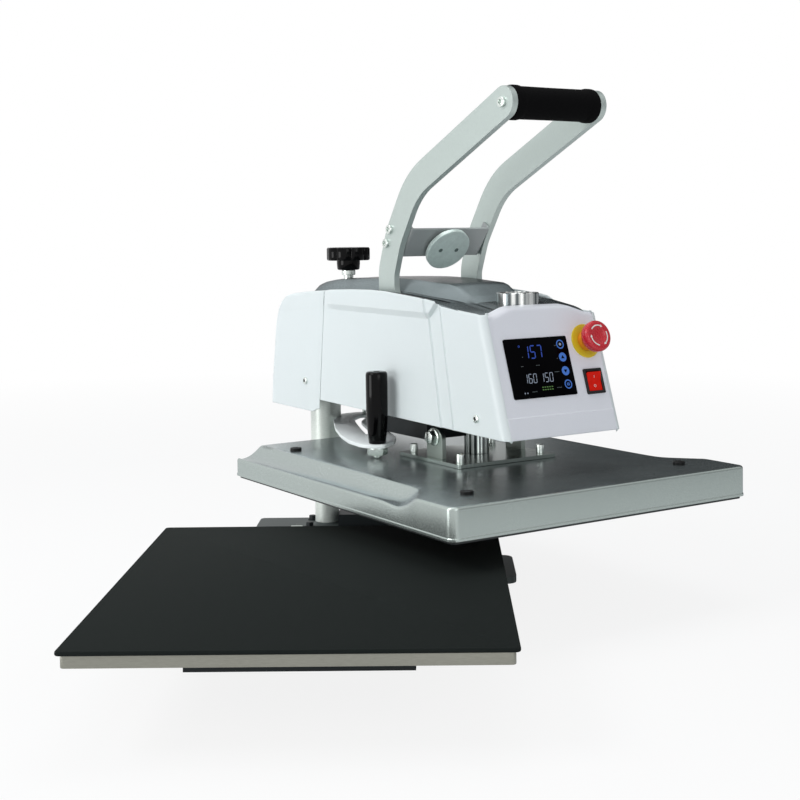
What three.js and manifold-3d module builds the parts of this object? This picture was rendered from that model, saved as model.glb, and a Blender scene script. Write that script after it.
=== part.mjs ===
// Swing-away heat press with a slide-out bed, an auto-open magnet and a raised two-arm handle.
// Millimetres. +Z up, the press faces -Y, and the origin is on the post's axis, at the
// underside of the base plate. The head is swung open, the bed is pulled out.
import * as THREE from 'three';
import { mergeVertices } from 'three/addons/utils/BufferGeometryUtils.js';
import { ConvexGeometry } from 'three/addons/geometries/ConvexGeometry.js';
import Module from 'manifold-3d';

const wasm = await Module();
wasm.setup();

// Running clearances and cutting overruns
const SEAT = 0.3;
const RUN = 0.35;
const OVER = 2;
const WELD = 1e-4;

// Layout of the machine
const CENTRE_X = 31;
const REACH = 336;
const SWING_DEG = 34;
const BED_TRAVEL = 257;
const CLOSED_GAP = 0.4;
const HANDLE_DEG = 52;

// Base plate and feet
const BASE_T = 8;
const BASE_HALF_W = 140;
const BASE_REAR = 89;
const BASE_LIP = 4;
const WING_HALF_W = 231;
const WING_REAR = 170;
const WING_FRONT = 294;
const WING_CORNER_R = 16;
const TOE_LEN = 80;
const TOE_HALF_W = 190;
const FOOT_R = 19;
const FOOT_H = 14;
const FOOT_INSET = 30;
const FOOT_EDGE = 3;

// Post, its flange, its brace and the thrust collar
const POST_R = 17.7;
const POST_FLANGE_R = 46;
const POST_FLANGE_T = 10;
const POST_TOP = 267;
const BRACE_W = 84;
const BRACE_D = 60;
const BRACE_H = 28;
const COLLAR_R = 30;
const COLLAR_H = 18;
const COLLAR_Z = 92;
const WASHER_T = 4;
const WASHER_INSET = 0.6;

// Slide rails, runners, carriage and the cast cross on it
const RAIL_GAUGE = 140;
const RAIL_W = 16;
const RAIL_H = 20;
const RAIL_REAR = 62;
const RAIL_SHORT = 37;
const RUNNER_WALL = 9;
const RUNNER_TOP = 6;
const RUNNER_DROP = 12;
const RUNNER_FRONT = 45;
const RUNNER_REAR = 245;
const CARRIAGE_T = 8;
const CARRIAGE_W = 220;
const CARRIAGE_FRONT = 150;
const CARRIAGE_REAR = 250;
const SUPPORT_H = 28;
const SUPPORT_ARM_W = 34;
const SUPPORT_SPAN = 300;
const SUPPORT_HUB_R = 62;

// Lower platen and its silicone pad
const PAD_W = 406;
const PAD_L = 509;
const PAD_T = 4;
const BED_T = 12;
const BED_INSET = 4;
const BED_CORNER_R = 4;

// Heat platen: cast cover, heating plate, mounting plate, ears and ram
const COVER_W = 436;
const COVER_L = 516;
const COVER_H = 36.5;
const COVER_WALL = 4.5;
const COVER_CORNER_R = 10;
const COVER_EDGE_R = 3.5;
const LEDGE_H = 23;
const LEDGE_W = 16;
const LEDGE_RISE = 22;
const LEDGE_END = 86;
const HEAT_T = 20;
const HEAT_SHOWS = 3.5;
const MOUNT_L = 136;
const MOUNT_W = 150;
const MOUNT_T = 5;
const MOUNT_CORNER_R = 3;
const MOUNT_BOLT_U = 52;
const MOUNT_BOLT_W = 62;
const MOUNT_BOLT_R = 5;
const MOUNT_BOLT_H = 11;
const EAR_L = 34;
const EAR_T = 6;
const EAR_H = 37;
const EAR_W = 62;
const EAR_CORNER_R = 12;
const RAM_R = 16;
const RAM_FORK = 14;
const RAM_FORK_DEPTH = 26;
const RAM_BRIDGE = 5;
const PIN_PLAY = 1;

// Head casing: its outline is kept as shares of this length and rise
const HEAD_HALF_W = 90;
const HEAD_REAR = 62;
const HEAD_AHEAD = 179;
const HEAD_FLOOR = 119;
const HEAD_RISE = 166;
const SHELL = 3;
const SKIRT_H = 14;
const REAR_DROP = 9;
const SEAM_U = 93.6;
const SEAM_LEAN = 9.5;
const SEAM_CORNER_R = 12;
const SIDE_LIFT = 8;
const HUMP_FLOOR_HALF_W = 56;
const HUMP_HALF_W = 44;
const HUMP_ROOM = 14;
const GROOVE_D = 1.6;
const GROOVE_H = 6;
const GROOVE_REAR = 105;
const GROOVE_SHORT = 141;
const GROOVE_RISE = 133;
const SLOT_PLAY = 2.5;
const SLOT_BACK = 89;
const SLOT_AHEAD = 81;
const LIP_GAP = 0.9;

// Head frame, swing block, sleeve, bushes and ram guide
const FRAME_HALF_W = 60;
const FRAME_T = 4;
const FRAME_SHORT = 63;
const FLOOR_T = 8;
const FLOOR_REAR = 54;
const KEEL_T = 6;
const KEEL_DROP = 34;
const KEEL_HALF_W = 52;
const KEEL_NEAR = 36;
const KEEL_FAR = 160;
const SLEEVE_R = 22.2;
const SLEEVE_BORE_R = 20.4;
const SLEEVE_TOP_T = 6;
const BUSH_H = 34;
const BLOCK_REAR = 26;
const BLOCK_FRONT = 40;
const BLOCK_DROP = 2;
const GUIDE_R = 23;
const GUIDE_FLANGE_R = 32;
const GUIDE_FLANGE_T = 5;
const GUIDE_DROP = 8;

// Handle: pivot, bent arms, crank, cross plate, armature disc and grip
const PIVOT_BACK = 36;
const PIVOT_Z = 159;
const ARM_W = 38;
const ARM_T = 8;
const ARM_OFFSET = 66;
const LEG_BACK = 64;
const LEG_Z = 281;
const KNEE_Z = 308;
const MID_BACK = 47;
const MID_Z = 352;
const BEND_BACK = 2;
const BEND_Z = 419;
const GRIP_AHEAD = 192;
const GRIP_Z = 507;
const GRIP_R = 20.5;
const GRIP_TUBE_R = 11;
const GRIP_SCREW_R = 4;
const GRIP_HEAD_R = 6.5;
const GRIP_HEAD_H = 4;
const LEG_BEND_R = 45;
const ARM_BEND_R = 110;
const SHAFT_R = 10;
const SHAFT_OVERHANG = 4;
const BUSH_WALL = 2.6;
const BUSH_PROUD = 1;
const CRANK_L = 35.5;
const CRANK_HALF_H = 9;
const CRANK_T = 12;
const CRANK_PIN_R = 6;
const CRANK_PIN_HALF_L = 14;
const CRANK_HUB_R = 17;
const CRANK_STEPS = 20;
const CROSS_W = 44;
const CROSS_T = 3;
const CROSS_AHEAD = 5;
const FLANGE_H = 36;
const DISC_R = 31;
const DISC_T = 6;
const DISC_BOSS_R = 9;
const DISC_BOSS_H = 4;
const DISC_GAP = 0.5;

// Electromagnet in the top cover
const MAGNET_AHEAD = 125;
const MAGNET_Z = 284.2;
const MAGNET_R = 26;
const MAGNET_H = 40;
const MAGNET_CORE_R = 11;
const MAGNET_WALL = 5;
const MAGNET_FLOOR = 8;
const COIL_SUNK = 0.8;

// Pressure knob, spindle and travelling nut
const KNOB_U = 19;
const KNOB_GAP = 2.5;
const KNOB_R = 32;
const KNOB_H = 19;
const KNOB_LOBES = 8;
const KNOB_LOBE_D = 3;
const LOBE_STEPS = 6;
const KNOB_HUB_R = 17;
const KNOB_HUB_H = 14;
const SPINDLE_COLLAR_R = 10;
const SPINDLE_COLLAR_H = 13.5;
const SPINDLE_R = 7;
const NUT_L = 34;
const NUT_H = 16;
const NUT_RISE = 14;

// Control panel: display, emergency stop and mains rocker
const DISPLAY_W = 94;
const DISPLAY_H = 72;
const DISPLAY_T = 1.6;
const DISPLAY_X = -17.5;
const DISPLAY_RISE = 58;
const STOP_X = 59;
const STOP_RISE = 86;
const STOP_RING_R = 21;
const STOP_RING_T = 1.6;
const STOP_NECK_R = 12.5;
const STOP_NECK_H = 7;
const STOP_HOLE_R = 9;
const STOP_STEM_R = 6;
const STOP_R = 19;
const STOP_H = 14.5;
const STOP_EDGE_R = 3;
const STOP_CASE_R = 13;
const STOP_TRAVEL = 4;
const STOP_DEPTH = 12;
const ROCKER_X = 59;
const ROCKER_RISE = 36;
const ROCKER_W = 28;
const ROCKER_H = 31;
const ROCKER_RIM = 3.4;
const ROCKER_RIM_T = 2.5;
const ROCKER_DEPTH = 14;
const ROCKER_KEY_H = 9;
const ROCKER_DEG = 9;
const ROCKER_PLAY = 0.7;

// Swing handle on its bow-shaped bracket
const BRACKET_Z = 86;
const BRACKET_T = 4.5;
const SWING_GRIP_BACK = 65;
const SWING_GRIP_W = 109;
const SWING_GRIP_R = 14;
const SWING_GRIP_FOOT_R = 11;
const SWING_GRIP_H = 92;
const SWING_TAPER_H = 31;
const SWING_STUD_R = 6;
const SWING_STUD_END = 3;
const SWING_NUT_R = 11.5;
const SWING_NUT_H = 8;
const SWING_EDGE_R = 3;
const SPACER_R = 8;

// Rear mains inlet and the controller board
const INLET_W = 48;
const INLET_H = 28;
const INLET_X = 28;
const INLET_RISE = 38;
const INLET_SUNK = 9;
const INLET_DEPTH = 34;
const INLET_WALL = 3;
const BOARD_W = 110;
const BOARD_H = 60;
const BOARD_T = 1.6;
const BOARD_GAP = 16;
const BOARD_STUD_R = 3;
const BOARD_STUD_INSET = 6;

// Heights and places that follow from the sizes above
const HANDLE_RAD = THREE.MathUtils.degToRad(HANDLE_DEG);
const STROKE = 2 * CRANK_L * Math.sin(HANDLE_RAD / 2);
const RAIL_TOP = BASE_T + RAIL_H;
const CARRIAGE_Z = RAIL_TOP + RUNNER_TOP;
const SUPPORT_Z = CARRIAGE_Z + CARRIAGE_T;
const BED_Z = SUPPORT_Z + SUPPORT_H;
const PAD_TOP = BED_Z + BED_T + PAD_T;
const BED_Y = -(REACH + BED_TRAVEL);
const RAIL_FRONT = REACH + BED_TRAVEL - RAIL_SHORT;
const BASE_FRONT = RAIL_FRONT + BASE_LIP;
const HEAT_Z = PAD_TOP + STROKE + CLOSED_GAP;
const COVER_Z = HEAT_Z + HEAT_SHOWS;
const COVER_TOP = COVER_Z + COVER_H;
const MOUNT_TOP = COVER_TOP + MOUNT_T;
const CASE_Z = PAD_TOP + HEAD_FLOOR;
const FLOOR_Z = CASE_Z + SIDE_LIFT;
const FLOOR_TOP = FLOOR_Z + FLOOR_T;
const GROOVE_Z = CASE_Z + GROOVE_RISE;
const HEAD_FRONT = REACH + HEAD_AHEAD;
const FRAME_FRONT = HEAD_FRONT - FRAME_SHORT;
const GROOVE_FRONT = HEAD_FRONT - GROOVE_SHORT;
const SWING_GRIP_U = REACH - SWING_GRIP_BACK;
const PIVOT_U = REACH - PIVOT_BACK;
const PIVOT_H = PAD_TOP + PIVOT_Z;
const GRIP_U = PIVOT_U + GRIP_AHEAD;
const MAGNET_U = PIVOT_U + MAGNET_AHEAD;
const MAGNET_TOP = PAD_TOP + MAGNET_Z;
const ROCKER_RAD = THREE.MathUtils.degToRad(ROCKER_DEG);

const root = new THREE.Group();
const head = new THREE.Group();
head.rotation.z = THREE.MathUtils.degToRad(SWING_DEG);
root.add(head);

// Solids: three.js geometry to a manifold and back
function solid(geometry) {
  const plain = geometry.clone();
  for (const name of Object.keys(plain.attributes)) {
    if (name !== 'position') plain.deleteAttribute(name);
  }
  const merged = mergeVertices(plain, WELD);
  return new wasm.Manifold(new wasm.Mesh({
    numProp: 3,
    vertProperties: new Float32Array(merged.attributes.position.array),
    triVerts: new Uint32Array(merged.index.array),
  }));
}

function shape(manifold) {
  const mesh = manifold.getMesh();
  const geometry = new THREE.BufferGeometry();
  geometry.setAttribute('position', new THREE.BufferAttribute(new Float32Array(mesh.vertProperties), 3));
  geometry.setIndex(new THREE.BufferAttribute(new Uint32Array(mesh.triVerts), 1));
  return geometry;
}

function joined(list) {
  return list.slice(1).reduce((sum, item) => sum.add(item), list[0]);
}

function cut(item, tools) {
  return tools.reduce((rest, tool) => rest.subtract(tool), item);
}

function moved(item, matrix) {
  return solid(shape(item).applyMatrix4(matrix));
}

// A box given by its lowest and highest corners
function block(x0, x1, y0, y1, z0, z1) {
  const geometry = new THREE.BoxGeometry(x1 - x0, y1 - y0, z1 - z0);
  geometry.translate((x0 + x1) / 2, (y0 + y1) / 2, (z0 + z1) / 2);
  return solid(geometry);
}

// An upright cylinder, or a prism where few sides are asked for
function rod(x, y, z0, z1, radius, sides = 28) {
  const geometry = new THREE.CylinderGeometry(radius, radius, z1 - z0, sides);
  geometry.rotateX(Math.PI / 2);
  geometry.translate(x, y, (z0 + z1) / 2);
  return solid(geometry);
}

// A cylinder along X
function barX(x0, x1, y, z, radius, sides = 28) {
  const geometry = new THREE.CylinderGeometry(radius, radius, x1 - x0, sides);
  geometry.rotateZ(Math.PI / 2);
  geometry.translate((x0 + x1) / 2, y, z);
  return solid(geometry);
}

// A body turned about an upright axis from a closed profile of radius and height
function turned(x, y, profile, sides = 32) {
  const points = profile.map(([r, z]) => new THREE.Vector2(r, z));
  const geometry = new THREE.LatheGeometry(points, sides);
  geometry.rotateX(Math.PI / 2);
  geometry.translate(x, y, 0);
  return solid(geometry);
}

function ring(x, y, z0, z1, inner, outer, sides = 36) {
  return turned(x, y, [[inner, z0], [outer, z0], [outer, z1], [inner, z1], [inner, z0]], sides);
}

function hull(points) {
  return solid(new ConvexGeometry(points));
}

// Outlines: corners rounded, closed unless said otherwise; a point may carry its own radius
function rounded(points, radius, closed = true, steps = 4) {
  return points.flatMap((point, i) => {
    const here = new THREE.Vector2(point[0], point[1]);
    const reach = point[2] ?? radius;
    const end = !closed && (i === 0 || i === points.length - 1);
    if (end || reach <= 0) return [here];
    const before = new THREE.Vector2(...points.at(i - 1)).sub(here).normalize();
    const after = new THREE.Vector2(...points[(i + 1) % points.length]).sub(here).normalize();
    const half = Math.acos(THREE.MathUtils.clamp(before.dot(after), -1, 1)) / 2;
    const run = reach / Math.tan(half);
    const start = here.clone().addScaledVector(before, run);
    const stop = here.clone().addScaledVector(after, run);
    return new THREE.QuadraticBezierCurve(start, here, stop).getPoints(steps);
  });
}

function rectangle(x0, x1, y0, y1, radius = 0) {
  return rounded([[x0, y0], [x1, y0], [x1, y1], [x0, y1]], radius);
}

// A closed outline moved inwards by one distance all round
function inset(points, distance) {
  const corners = points.map(([x, y]) => new THREE.Vector2(x, y));
  const turn = Math.sign(THREE.ShapeUtils.area(corners));
  const inward = corners.map((corner, i) => {
    const along = corners[(i + 1) % corners.length].clone().sub(corner).normalize();
    return new THREE.Vector2(-along.y, along.x).multiplyScalar(turn);
  });
  return corners.map((corner, i) => {
    const a = inward.at(i - 1);
    const b = inward[i];
    return corner.clone().addScaledVector(a.clone().add(b), distance / (1 + a.dot(b))).toArray();
  });
}

// An open line given a thickness on its right side, and one given half a width on both sides
function sideways(points, distance) {
  const line = points.map(([x, y]) => new THREE.Vector2(x, y));
  return line.map((point, i) => {
    const before = line[Math.max(i - 1, 0)];
    const after = line[Math.min(i + 1, line.length - 1)];
    const into = point === before ? null : point.clone().sub(before).normalize();
    const out = point === after ? null : after.clone().sub(point).normalize();
    const a = into ?? out;
    const b = out ?? into;
    const right = new THREE.Vector2(a.y + b.y, -a.x - b.x);
    return point.clone().addScaledVector(right, distance / (1 + a.dot(b)));
  });
}

function strip(points, thickness) {
  return [...sideways(points, 0), ...sideways(points, thickness).reverse()];
}

function ribbon(line, half, steps = 6) {
  const cap = (centre, towards) => {
    const angle = towards.angle() - Math.PI / 2;
    return Array.from({ length: steps - 1 }, (_, i) => {
      const at = angle + Math.PI * (i + 1) / steps;
      return new THREE.Vector2(centre.x + half * Math.cos(at), centre.y + half * Math.sin(at));
    });
  };
  const ahead = line.at(-1).clone().sub(line.at(-2));
  const behind = line[0].clone().sub(line[1]);
  return [...sideways(line, half), ...cap(line.at(-1), ahead),
    ...sideways(line, -half).reverse(), ...cap(line[0], behind)];
}

function extrude(outline, depth) {
  const flat = new THREE.Shape(outline.map((point) => (
    Array.isArray(point) ? new THREE.Vector2(point[0], point[1]) : point)));
  return new THREE.ExtrudeGeometry(flat, { depth, bevelEnabled: false, curveSegments: 1 });
}

// A plate lying flat between two heights, from an outline of X and Y
function plate(outline, z0, z1) {
  const geometry = extrude(outline, z1 - z0);
  geometry.translate(0, 0, z0);
  return solid(geometry);
}

// A slab standing between two X places of the head, from an outline of reach and height
const SIDEWAYS = new THREE.Matrix4().makeBasis(
  new THREE.Vector3(0, -1, 0),
  new THREE.Vector3(0, 0, 1),
  new THREE.Vector3(-1, 0, 0),
);

function slab(outline, x0, x1) {
  const geometry = extrude(outline, x1 - x0);
  geometry.applyMatrix4(SIDEWAYS);
  geometry.translate(x1, 0, 0);
  return solid(geometry);
}

// A bar running from one reach to another, from a section of X and height
function bar(section, u0, u1) {
  const geometry = extrude(section, u1 - u0);
  geometry.rotateX(Math.PI / 2);
  geometry.translate(0, -u0, 0);
  return solid(geometry);
}

// Colours and finishes
const FINISH = {
  slate: ['#5c6462', 0.5, 0.2],
  rubber: ['#1b1c1d', 0.9, 0],
  steel: ['#aab3ad', 0.35, 0.9],
  zinc: ['#c5cfc8', 0.35, 0.9],
  dark: ['#3a4245', 0.6, 0.3],
  nylon: ['#26292b', 0.6, 0],
  aluminium: ['#8b8b80', 0.4, 0.9],
  silicone: ['#2c302f', 0.85, 0],
  casting: ['#8d9694', 0.4, 0.5],
  black: ['#17191a', 0.4, 0.1],
  white: ['#dfe8e8', 0.35, 0.1],
  panel: ['#c9cdd6', 0.35, 0.3],
  sheet: ['#7e868a', 0.4, 0.7],
  bronze: ['#a8864f', 0.4, 0.9],
  copper: ['#8a4b2c', 0.5, 0.6],
  glass: ['#08090c', 0.08, 0],
  yellow: ['#e5cf2a', 0.5, 0],
  orange: ['#e08a1e', 0.5, 0],
  red: ['#c8202f', 0.35, 0],
  foam: ['#101112', 0.95, 0],
  board: ['#1f5a38', 0.6, 0],
};

function add(group, name, item, finish) {
  const [color, roughness, metalness] = FINISH[finish];
  const mesh = new THREE.Mesh(shape(item), new THREE.MeshStandardMaterial({ color, roughness, metalness }));
  mesh.name = name;
  group.add(mesh);
}

const SIDES = { left: -1, right: 1 };

// Places of the head: reach forward of the post, offset to the right of its centreline
const X = (w) => CENTRE_X + w;
const Y = (u) => -u;
const box = (w0, w1, u0, u1, z0, z1) => block(X(w0), X(w1), Y(u1), Y(u0), z0, z1);

// Base plate: a spine, a wide cross foot and a front toe, cut from one sheet
const spine = rectangle(CENTRE_X - BASE_HALF_W, CENTRE_X + BASE_HALF_W, -BASE_FRONT, BASE_REAR,
  WING_CORNER_R / 2);
const wing = rectangle(CENTRE_X - WING_HALF_W, CENTRE_X + WING_HALF_W, -WING_FRONT, -WING_REAR,
  WING_CORNER_R);
const toe = rectangle(CENTRE_X - TOE_HALF_W, CENTRE_X + TOE_HALF_W, -BASE_FRONT, -BASE_FRONT + TOE_LEN,
  WING_CORNER_R);
add(root, 'base_plate', joined([spine, wing, toe].map((outline) => plate(outline, 0, BASE_T))), 'slate');

const FEET = {
  rear: [BASE_HALF_W - FOOT_INSET, BASE_REAR - FOOT_INSET],
  front: [TOE_HALF_W - FOOT_INSET, -BASE_FRONT + TOE_LEN / 2],
};
for (const [end, [offset, y]] of Object.entries(FEET)) {
  for (const [name, side] of Object.entries(SIDES)) {
    add(root, `foot_${end}_${name}`, turned(CENTRE_X + side * offset, y, [
      [0, -FOOT_H], [FOOT_R - FOOT_EDGE, -FOOT_H], [FOOT_R, -FOOT_H + FOOT_EDGE], [FOOT_R, -SEAT], [0, -SEAT],
    ], 24), 'rubber');
  }
}

// Post on its round flange, and the brace block beside it
const flangeZ = BASE_T + SEAT;
const flangeTop = flangeZ + POST_FLANGE_T;
add(root, 'post', turned(0, 0, [
  [0, flangeZ], [POST_FLANGE_R, flangeZ], [POST_FLANGE_R, flangeTop],
  [POST_R, flangeTop], [POST_R, POST_TOP], [0, POST_TOP],
], 40), 'zinc');
const braceEnd = POST_R + RUN + BRACE_W;
add(root, 'post_brace', joined([
  block(POST_R + RUN, braceEnd, -BRACE_D / 2, BRACE_D / 2, flangeTop + SEAT, flangeZ + BRACE_H),
  block(POST_FLANGE_R + RUN, braceEnd, -BRACE_D / 2, BRACE_D / 2, flangeZ, flangeZ + BRACE_H),
]), 'dark');

// Thrust collar clamped on the post under the sleeve, and the washer on it
const collarTop = COLLAR_Z + COLLAR_H;
const washerTop = collarTop + SEAT + WASHER_T;
add(root, 'thrust_collar', ring(0, 0, COLLAR_Z, collarTop, POST_R + RUN, COLLAR_R), 'steel');
add(root, 'thrust_washer', ring(0, 0, collarTop + SEAT, washerTop, POST_R + RUN, COLLAR_R - WASHER_INSET),
  'bronze');

// Slide rails on the base plate, and the runners that ride on them
for (const [name, side] of Object.entries(SIDES)) {
  const x = CENTRE_X + side * RAIL_GAUGE / 2;
  const halfW = RAIL_W / 2;
  const rail = block(x - halfW, x + halfW, -RAIL_FRONT, -RAIL_REAR, flangeZ, RAIL_TOP);
  add(root, `slide_rail_${name}`, rail, 'steel');
  const runner = block(x - halfW - RUNNER_WALL, x + halfW + RUNNER_WALL, BED_Y + RUNNER_FRONT,
    BED_Y + RUNNER_REAR, RAIL_TOP - RUNNER_DROP, CARRIAGE_Z - SEAT);
  const groove = block(x - halfW - RUN, x + halfW + RUN, BED_Y + RUNNER_FRONT - OVER,
    BED_Y + RUNNER_REAR + OVER, RAIL_TOP - RUNNER_DROP - OVER, RAIL_TOP + RUN);
  add(root, `slide_runner_${name}`, runner.subtract(groove), 'nylon');
}

// Bed: carriage plate, cast cross, lower platen and its pad
add(root, 'carriage_plate', block(CENTRE_X - CARRIAGE_W / 2, CENTRE_X + CARRIAGE_W / 2,
  BED_Y - CARRIAGE_FRONT, BED_Y + CARRIAGE_REAR, CARRIAGE_Z, CARRIAGE_Z + CARRIAGE_T), 'dark');
const crossZ = [SUPPORT_Z + SEAT, BED_Z - SEAT];
const arms = [1, -1].map((turn) => {
  const arm = new THREE.BoxGeometry(SUPPORT_SPAN, SUPPORT_ARM_W, crossZ[1] - crossZ[0]);
  arm.rotateZ(turn * Math.PI / 4);
  arm.translate(CENTRE_X, BED_Y, (crossZ[0] + crossZ[1]) / 2);
  return solid(arm);
});
const hub = rod(CENTRE_X, BED_Y, ...crossZ, SUPPORT_HUB_R, 32);
add(root, 'bed_support', joined([...arms, hub]), 'dark');
const bedOutline = (edge) => rectangle(CENTRE_X - PAD_W / 2 + edge, CENTRE_X + PAD_W / 2 - edge,
  BED_Y - PAD_L / 2 + edge, BED_Y + PAD_L / 2 - edge, BED_CORNER_R);
add(root, 'lower_platen', plate(bedOutline(BED_INSET), BED_Z, BED_Z + BED_T), 'aluminium');
add(root, 'silicone_pad', plate(bedOutline(0), BED_Z + BED_T, PAD_TOP), 'silicone');

// Heat platen cover: a shallow shell whose long sides are scooped behind the front corners
const coverOutline = (edge, radius) => rectangle(X(edge - COVER_W / 2), X(COVER_W / 2 - edge),
  Y(REACH + COVER_L / 2 - edge), Y(REACH - COVER_L / 2 + edge), radius);
const EDGE_SHARES = [[0, 1], [0.3, 0.3], [1, 0]];
const coverBody = joined(EDGE_SHARES.map(([inShare, downShare]) => plate(
  coverOutline(COVER_EDGE_R * inShare, COVER_CORNER_R), COVER_Z, COVER_TOP - COVER_EDGE_R * downShare)));
const ledgeTop = COVER_Z + LEDGE_H;
const scoops = Object.values(SIDES).map((side) => {
  const outer = X(side * (COVER_W / 2 + OVER));
  const inner = X(side * (COVER_W / 2 - LEDGE_W));
  const crest = X(side * (COVER_W / 2 - LEDGE_W - LEDGE_RISE));
  const section = [[outer, ledgeTop], [inner, ledgeTop], [crest, COVER_TOP], [crest, COVER_TOP + OVER],
    [outer, COVER_TOP + OVER]];
  return bar(section, REACH - COVER_L / 2 - OVER, REACH + COVER_L / 2 - LEDGE_END);
});
const coverHollow = plate(coverOutline(COVER_WALL, COVER_CORNER_R - COVER_WALL), COVER_Z - OVER,
  ledgeTop - COVER_WALL);
add(head, 'platen_cover', cut(coverBody, [...scoops, coverHollow]), 'casting');
add(head, 'heating_plate', plate(coverOutline(COVER_WALL + RUN, COVER_CORNER_R - COVER_WALL), HEAT_Z,
  HEAT_Z + HEAT_T), 'black');

// Mounting bracket: a plate with two upright ears, and its bolts
const onCover = COVER_TOP + SEAT;
const mountPlate = plate(rectangle(X(-MOUNT_W / 2), X(MOUNT_W / 2), Y(REACH + MOUNT_L / 2),
  Y(REACH - MOUNT_L / 2), MOUNT_CORNER_R), onCover, MOUNT_TOP);
const ears = Object.values(SIDES).map((side) => {
  const outline = rounded([[REACH - EAR_L / 2, onCover, 0], [REACH + EAR_L / 2, onCover, 0],
    [REACH + EAR_L / 2, MOUNT_TOP + EAR_H], [REACH - EAR_L / 2, MOUNT_TOP + EAR_H]], EAR_CORNER_R);
  return slab(outline, X(side * EAR_W - EAR_T / 2), X(side * EAR_W + EAR_T / 2));
});
add(head, 'mount_bracket', joined([mountPlate, ...ears]), 'steel');
for (const [end, away] of [['rear', -1], ['front', 1]]) {
  for (const [name, side] of Object.entries(SIDES)) {
    add(head, `mount_bolt_${end}_${name}`, rod(X(side * MOUNT_BOLT_W), Y(REACH + away * MOUNT_BOLT_U),
      MOUNT_TOP + SEAT, MOUNT_TOP + SEAT + MOUNT_BOLT_H, MOUNT_BOLT_R, 20), 'zinc');
  }
}

// Ram: the crank's pin runs in a slot across its forked top
const crankTilt = HANDLE_RAD / 2;
const pinU = PIVOT_U + CRANK_L * Math.cos(crankTilt);
const pinZ = PIVOT_H + CRANK_L * Math.sin(crankTilt);
const pinRoom = CRANK_PIN_R + PIN_PLAY;
const ramTop = pinZ + pinRoom + RAM_BRIDGE;
const fork = box(-RAM_FORK / 2, RAM_FORK / 2, REACH - RAM_R - OVER, REACH + RAM_R + OVER,
  pinZ - RAM_FORK_DEPTH, ramTop + OVER);
const pinSlot = box(-RAM_R - OVER, RAM_R + OVER, pinU - pinRoom, PIVOT_U + CRANK_L + pinRoom,
  pinZ - pinRoom, pinZ + pinRoom);
add(head, 'ram', cut(rod(X(0), Y(REACH), MOUNT_TOP + SEAT, ramTop, RAM_R, 36), [fork, pinSlot]), 'zinc');

// Swing sleeve on the post with its two bushes
const sleeveZ = washerTop + RUN;
const sleeveBoreTop = POST_TOP + RUN;
const sleeveTop = sleeveBoreTop + SLEEVE_TOP_T;
add(head, 'swing_sleeve', rod(0, 0, sleeveZ, sleeveTop, SLEEVE_R, 40).subtract(
  rod(0, 0, sleeveZ - OVER, sleeveBoreTop, SLEEVE_BORE_R, 40)), 'steel');
const bushOuter = SLEEVE_BORE_R - SEAT;
add(head, 'sleeve_bush_lower', ring(0, 0, sleeveZ, sleeveZ + BUSH_H, POST_R + RUN, bushOuter), 'bronze');
add(head, 'sleeve_bush_upper', ring(0, 0, POST_TOP - BUSH_H, POST_TOP, POST_R + RUN, bushOuter), 'bronze');

// Outlines of the casing, in shares of its length and rise
const SIDE_SHARES = [[0, 0], [0.007, 0.145], [0.014, 0.289], [0.021, 0.434], [0.026, 0.578], [0.042, 0.723],
  [0.071, 0.867], [0.101, 0.922], [0.168, 0.946], [0.317, 0.982], [0.508, 1], [0.645, 0.976],
  [0.766, 0.94], [0.775, 0.904], [0.853, 0.88]];
const TOP_SHARES = [[0.101, 0.898], [0.211, 0.934], [0.315, 0.964], [0.627, 0.964], [0.768, 0.928],
  [0.844, 0.898]];
const PANEL_SHARES = [[0.893, 0.886], [0.92, 0.861], [0.988, 0.145], [1, 0]];
const HUMP_SHARES = [[0.104, 0.886], [0.104, 0.946], [0.128, 1.024], [0.3, 1.054], [0.551, 1.066],
  [0.697, 1.048], [0.763, 1], [0.79, 0.916], [0.79, 0.886]];
const HEAD_LEN = HEAD_FRONT + HEAD_REAR;
const inCase = ([u, z]) => [u * HEAD_LEN - HEAD_REAR, CASE_Z + z * HEAD_RISE];
const topRear = inCase(TOP_SHARES[0])[0];
const caseTop = CASE_Z + HEAD_RISE;
const panelLine = PANEL_SHARES.map(inCase);
const topLine = [...TOP_SHARES.map(inCase), [panelLine[0][0] - LIP_GAP, panelLine[0][1]]];
const skirtZ = CASE_Z - SKIRT_H;
const sideOutline = [...SIDE_SHARES.map(inCase), ...panelLine.slice(1), [HEAD_FRONT, skirtZ],
  [-HEAD_REAR, skirtZ]];
const coreHalfW = HEAD_HALF_W - SHELL - SEAT;
const seamAt = (z) => SEAM_U + SEAM_LEAN * (2 * (z - CASE_Z) / HEAD_RISE - 1);

// Outline of the swing bracket, its slot and its spacers, in shares of the swing grip's place
const BOW_SHARES = [[-0.037, 0, 0.02], [0.159, -0.394, 0.3], [0.424, -0.743, 0.3], [0.649, -0.991, 0.3],
  [0.83, -1.147, 0.2], [1.004, -1.202, 0.1], [1.07, -1.01, 0.02], [0.989, -0.743, 0.1], [0.875, -0.541, 0.2],
  [0.554, -0.239, 0.3], [0.295, 0.055, 0.3], [0.074, 0.46, 0.12], [-0.044, 0.35, 0.06]];
const CRESCENT_SHARES = [[0.02, 0.2, 0.02], [0.13, -0.2, 0.1], [0.3, -0.41, 0.3], [0.55, -0.66, 0.3],
  [0.76, -0.8, 0.01], [0.74, -0.7, 0.02], [0.55, -0.44, 0.3], [0.3, -0.18, 0.2], [0.12, 0.2, 0.03]];
const SPACER_SHARES = [[0.48, -0.27], [0.02, 0.34]];

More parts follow.
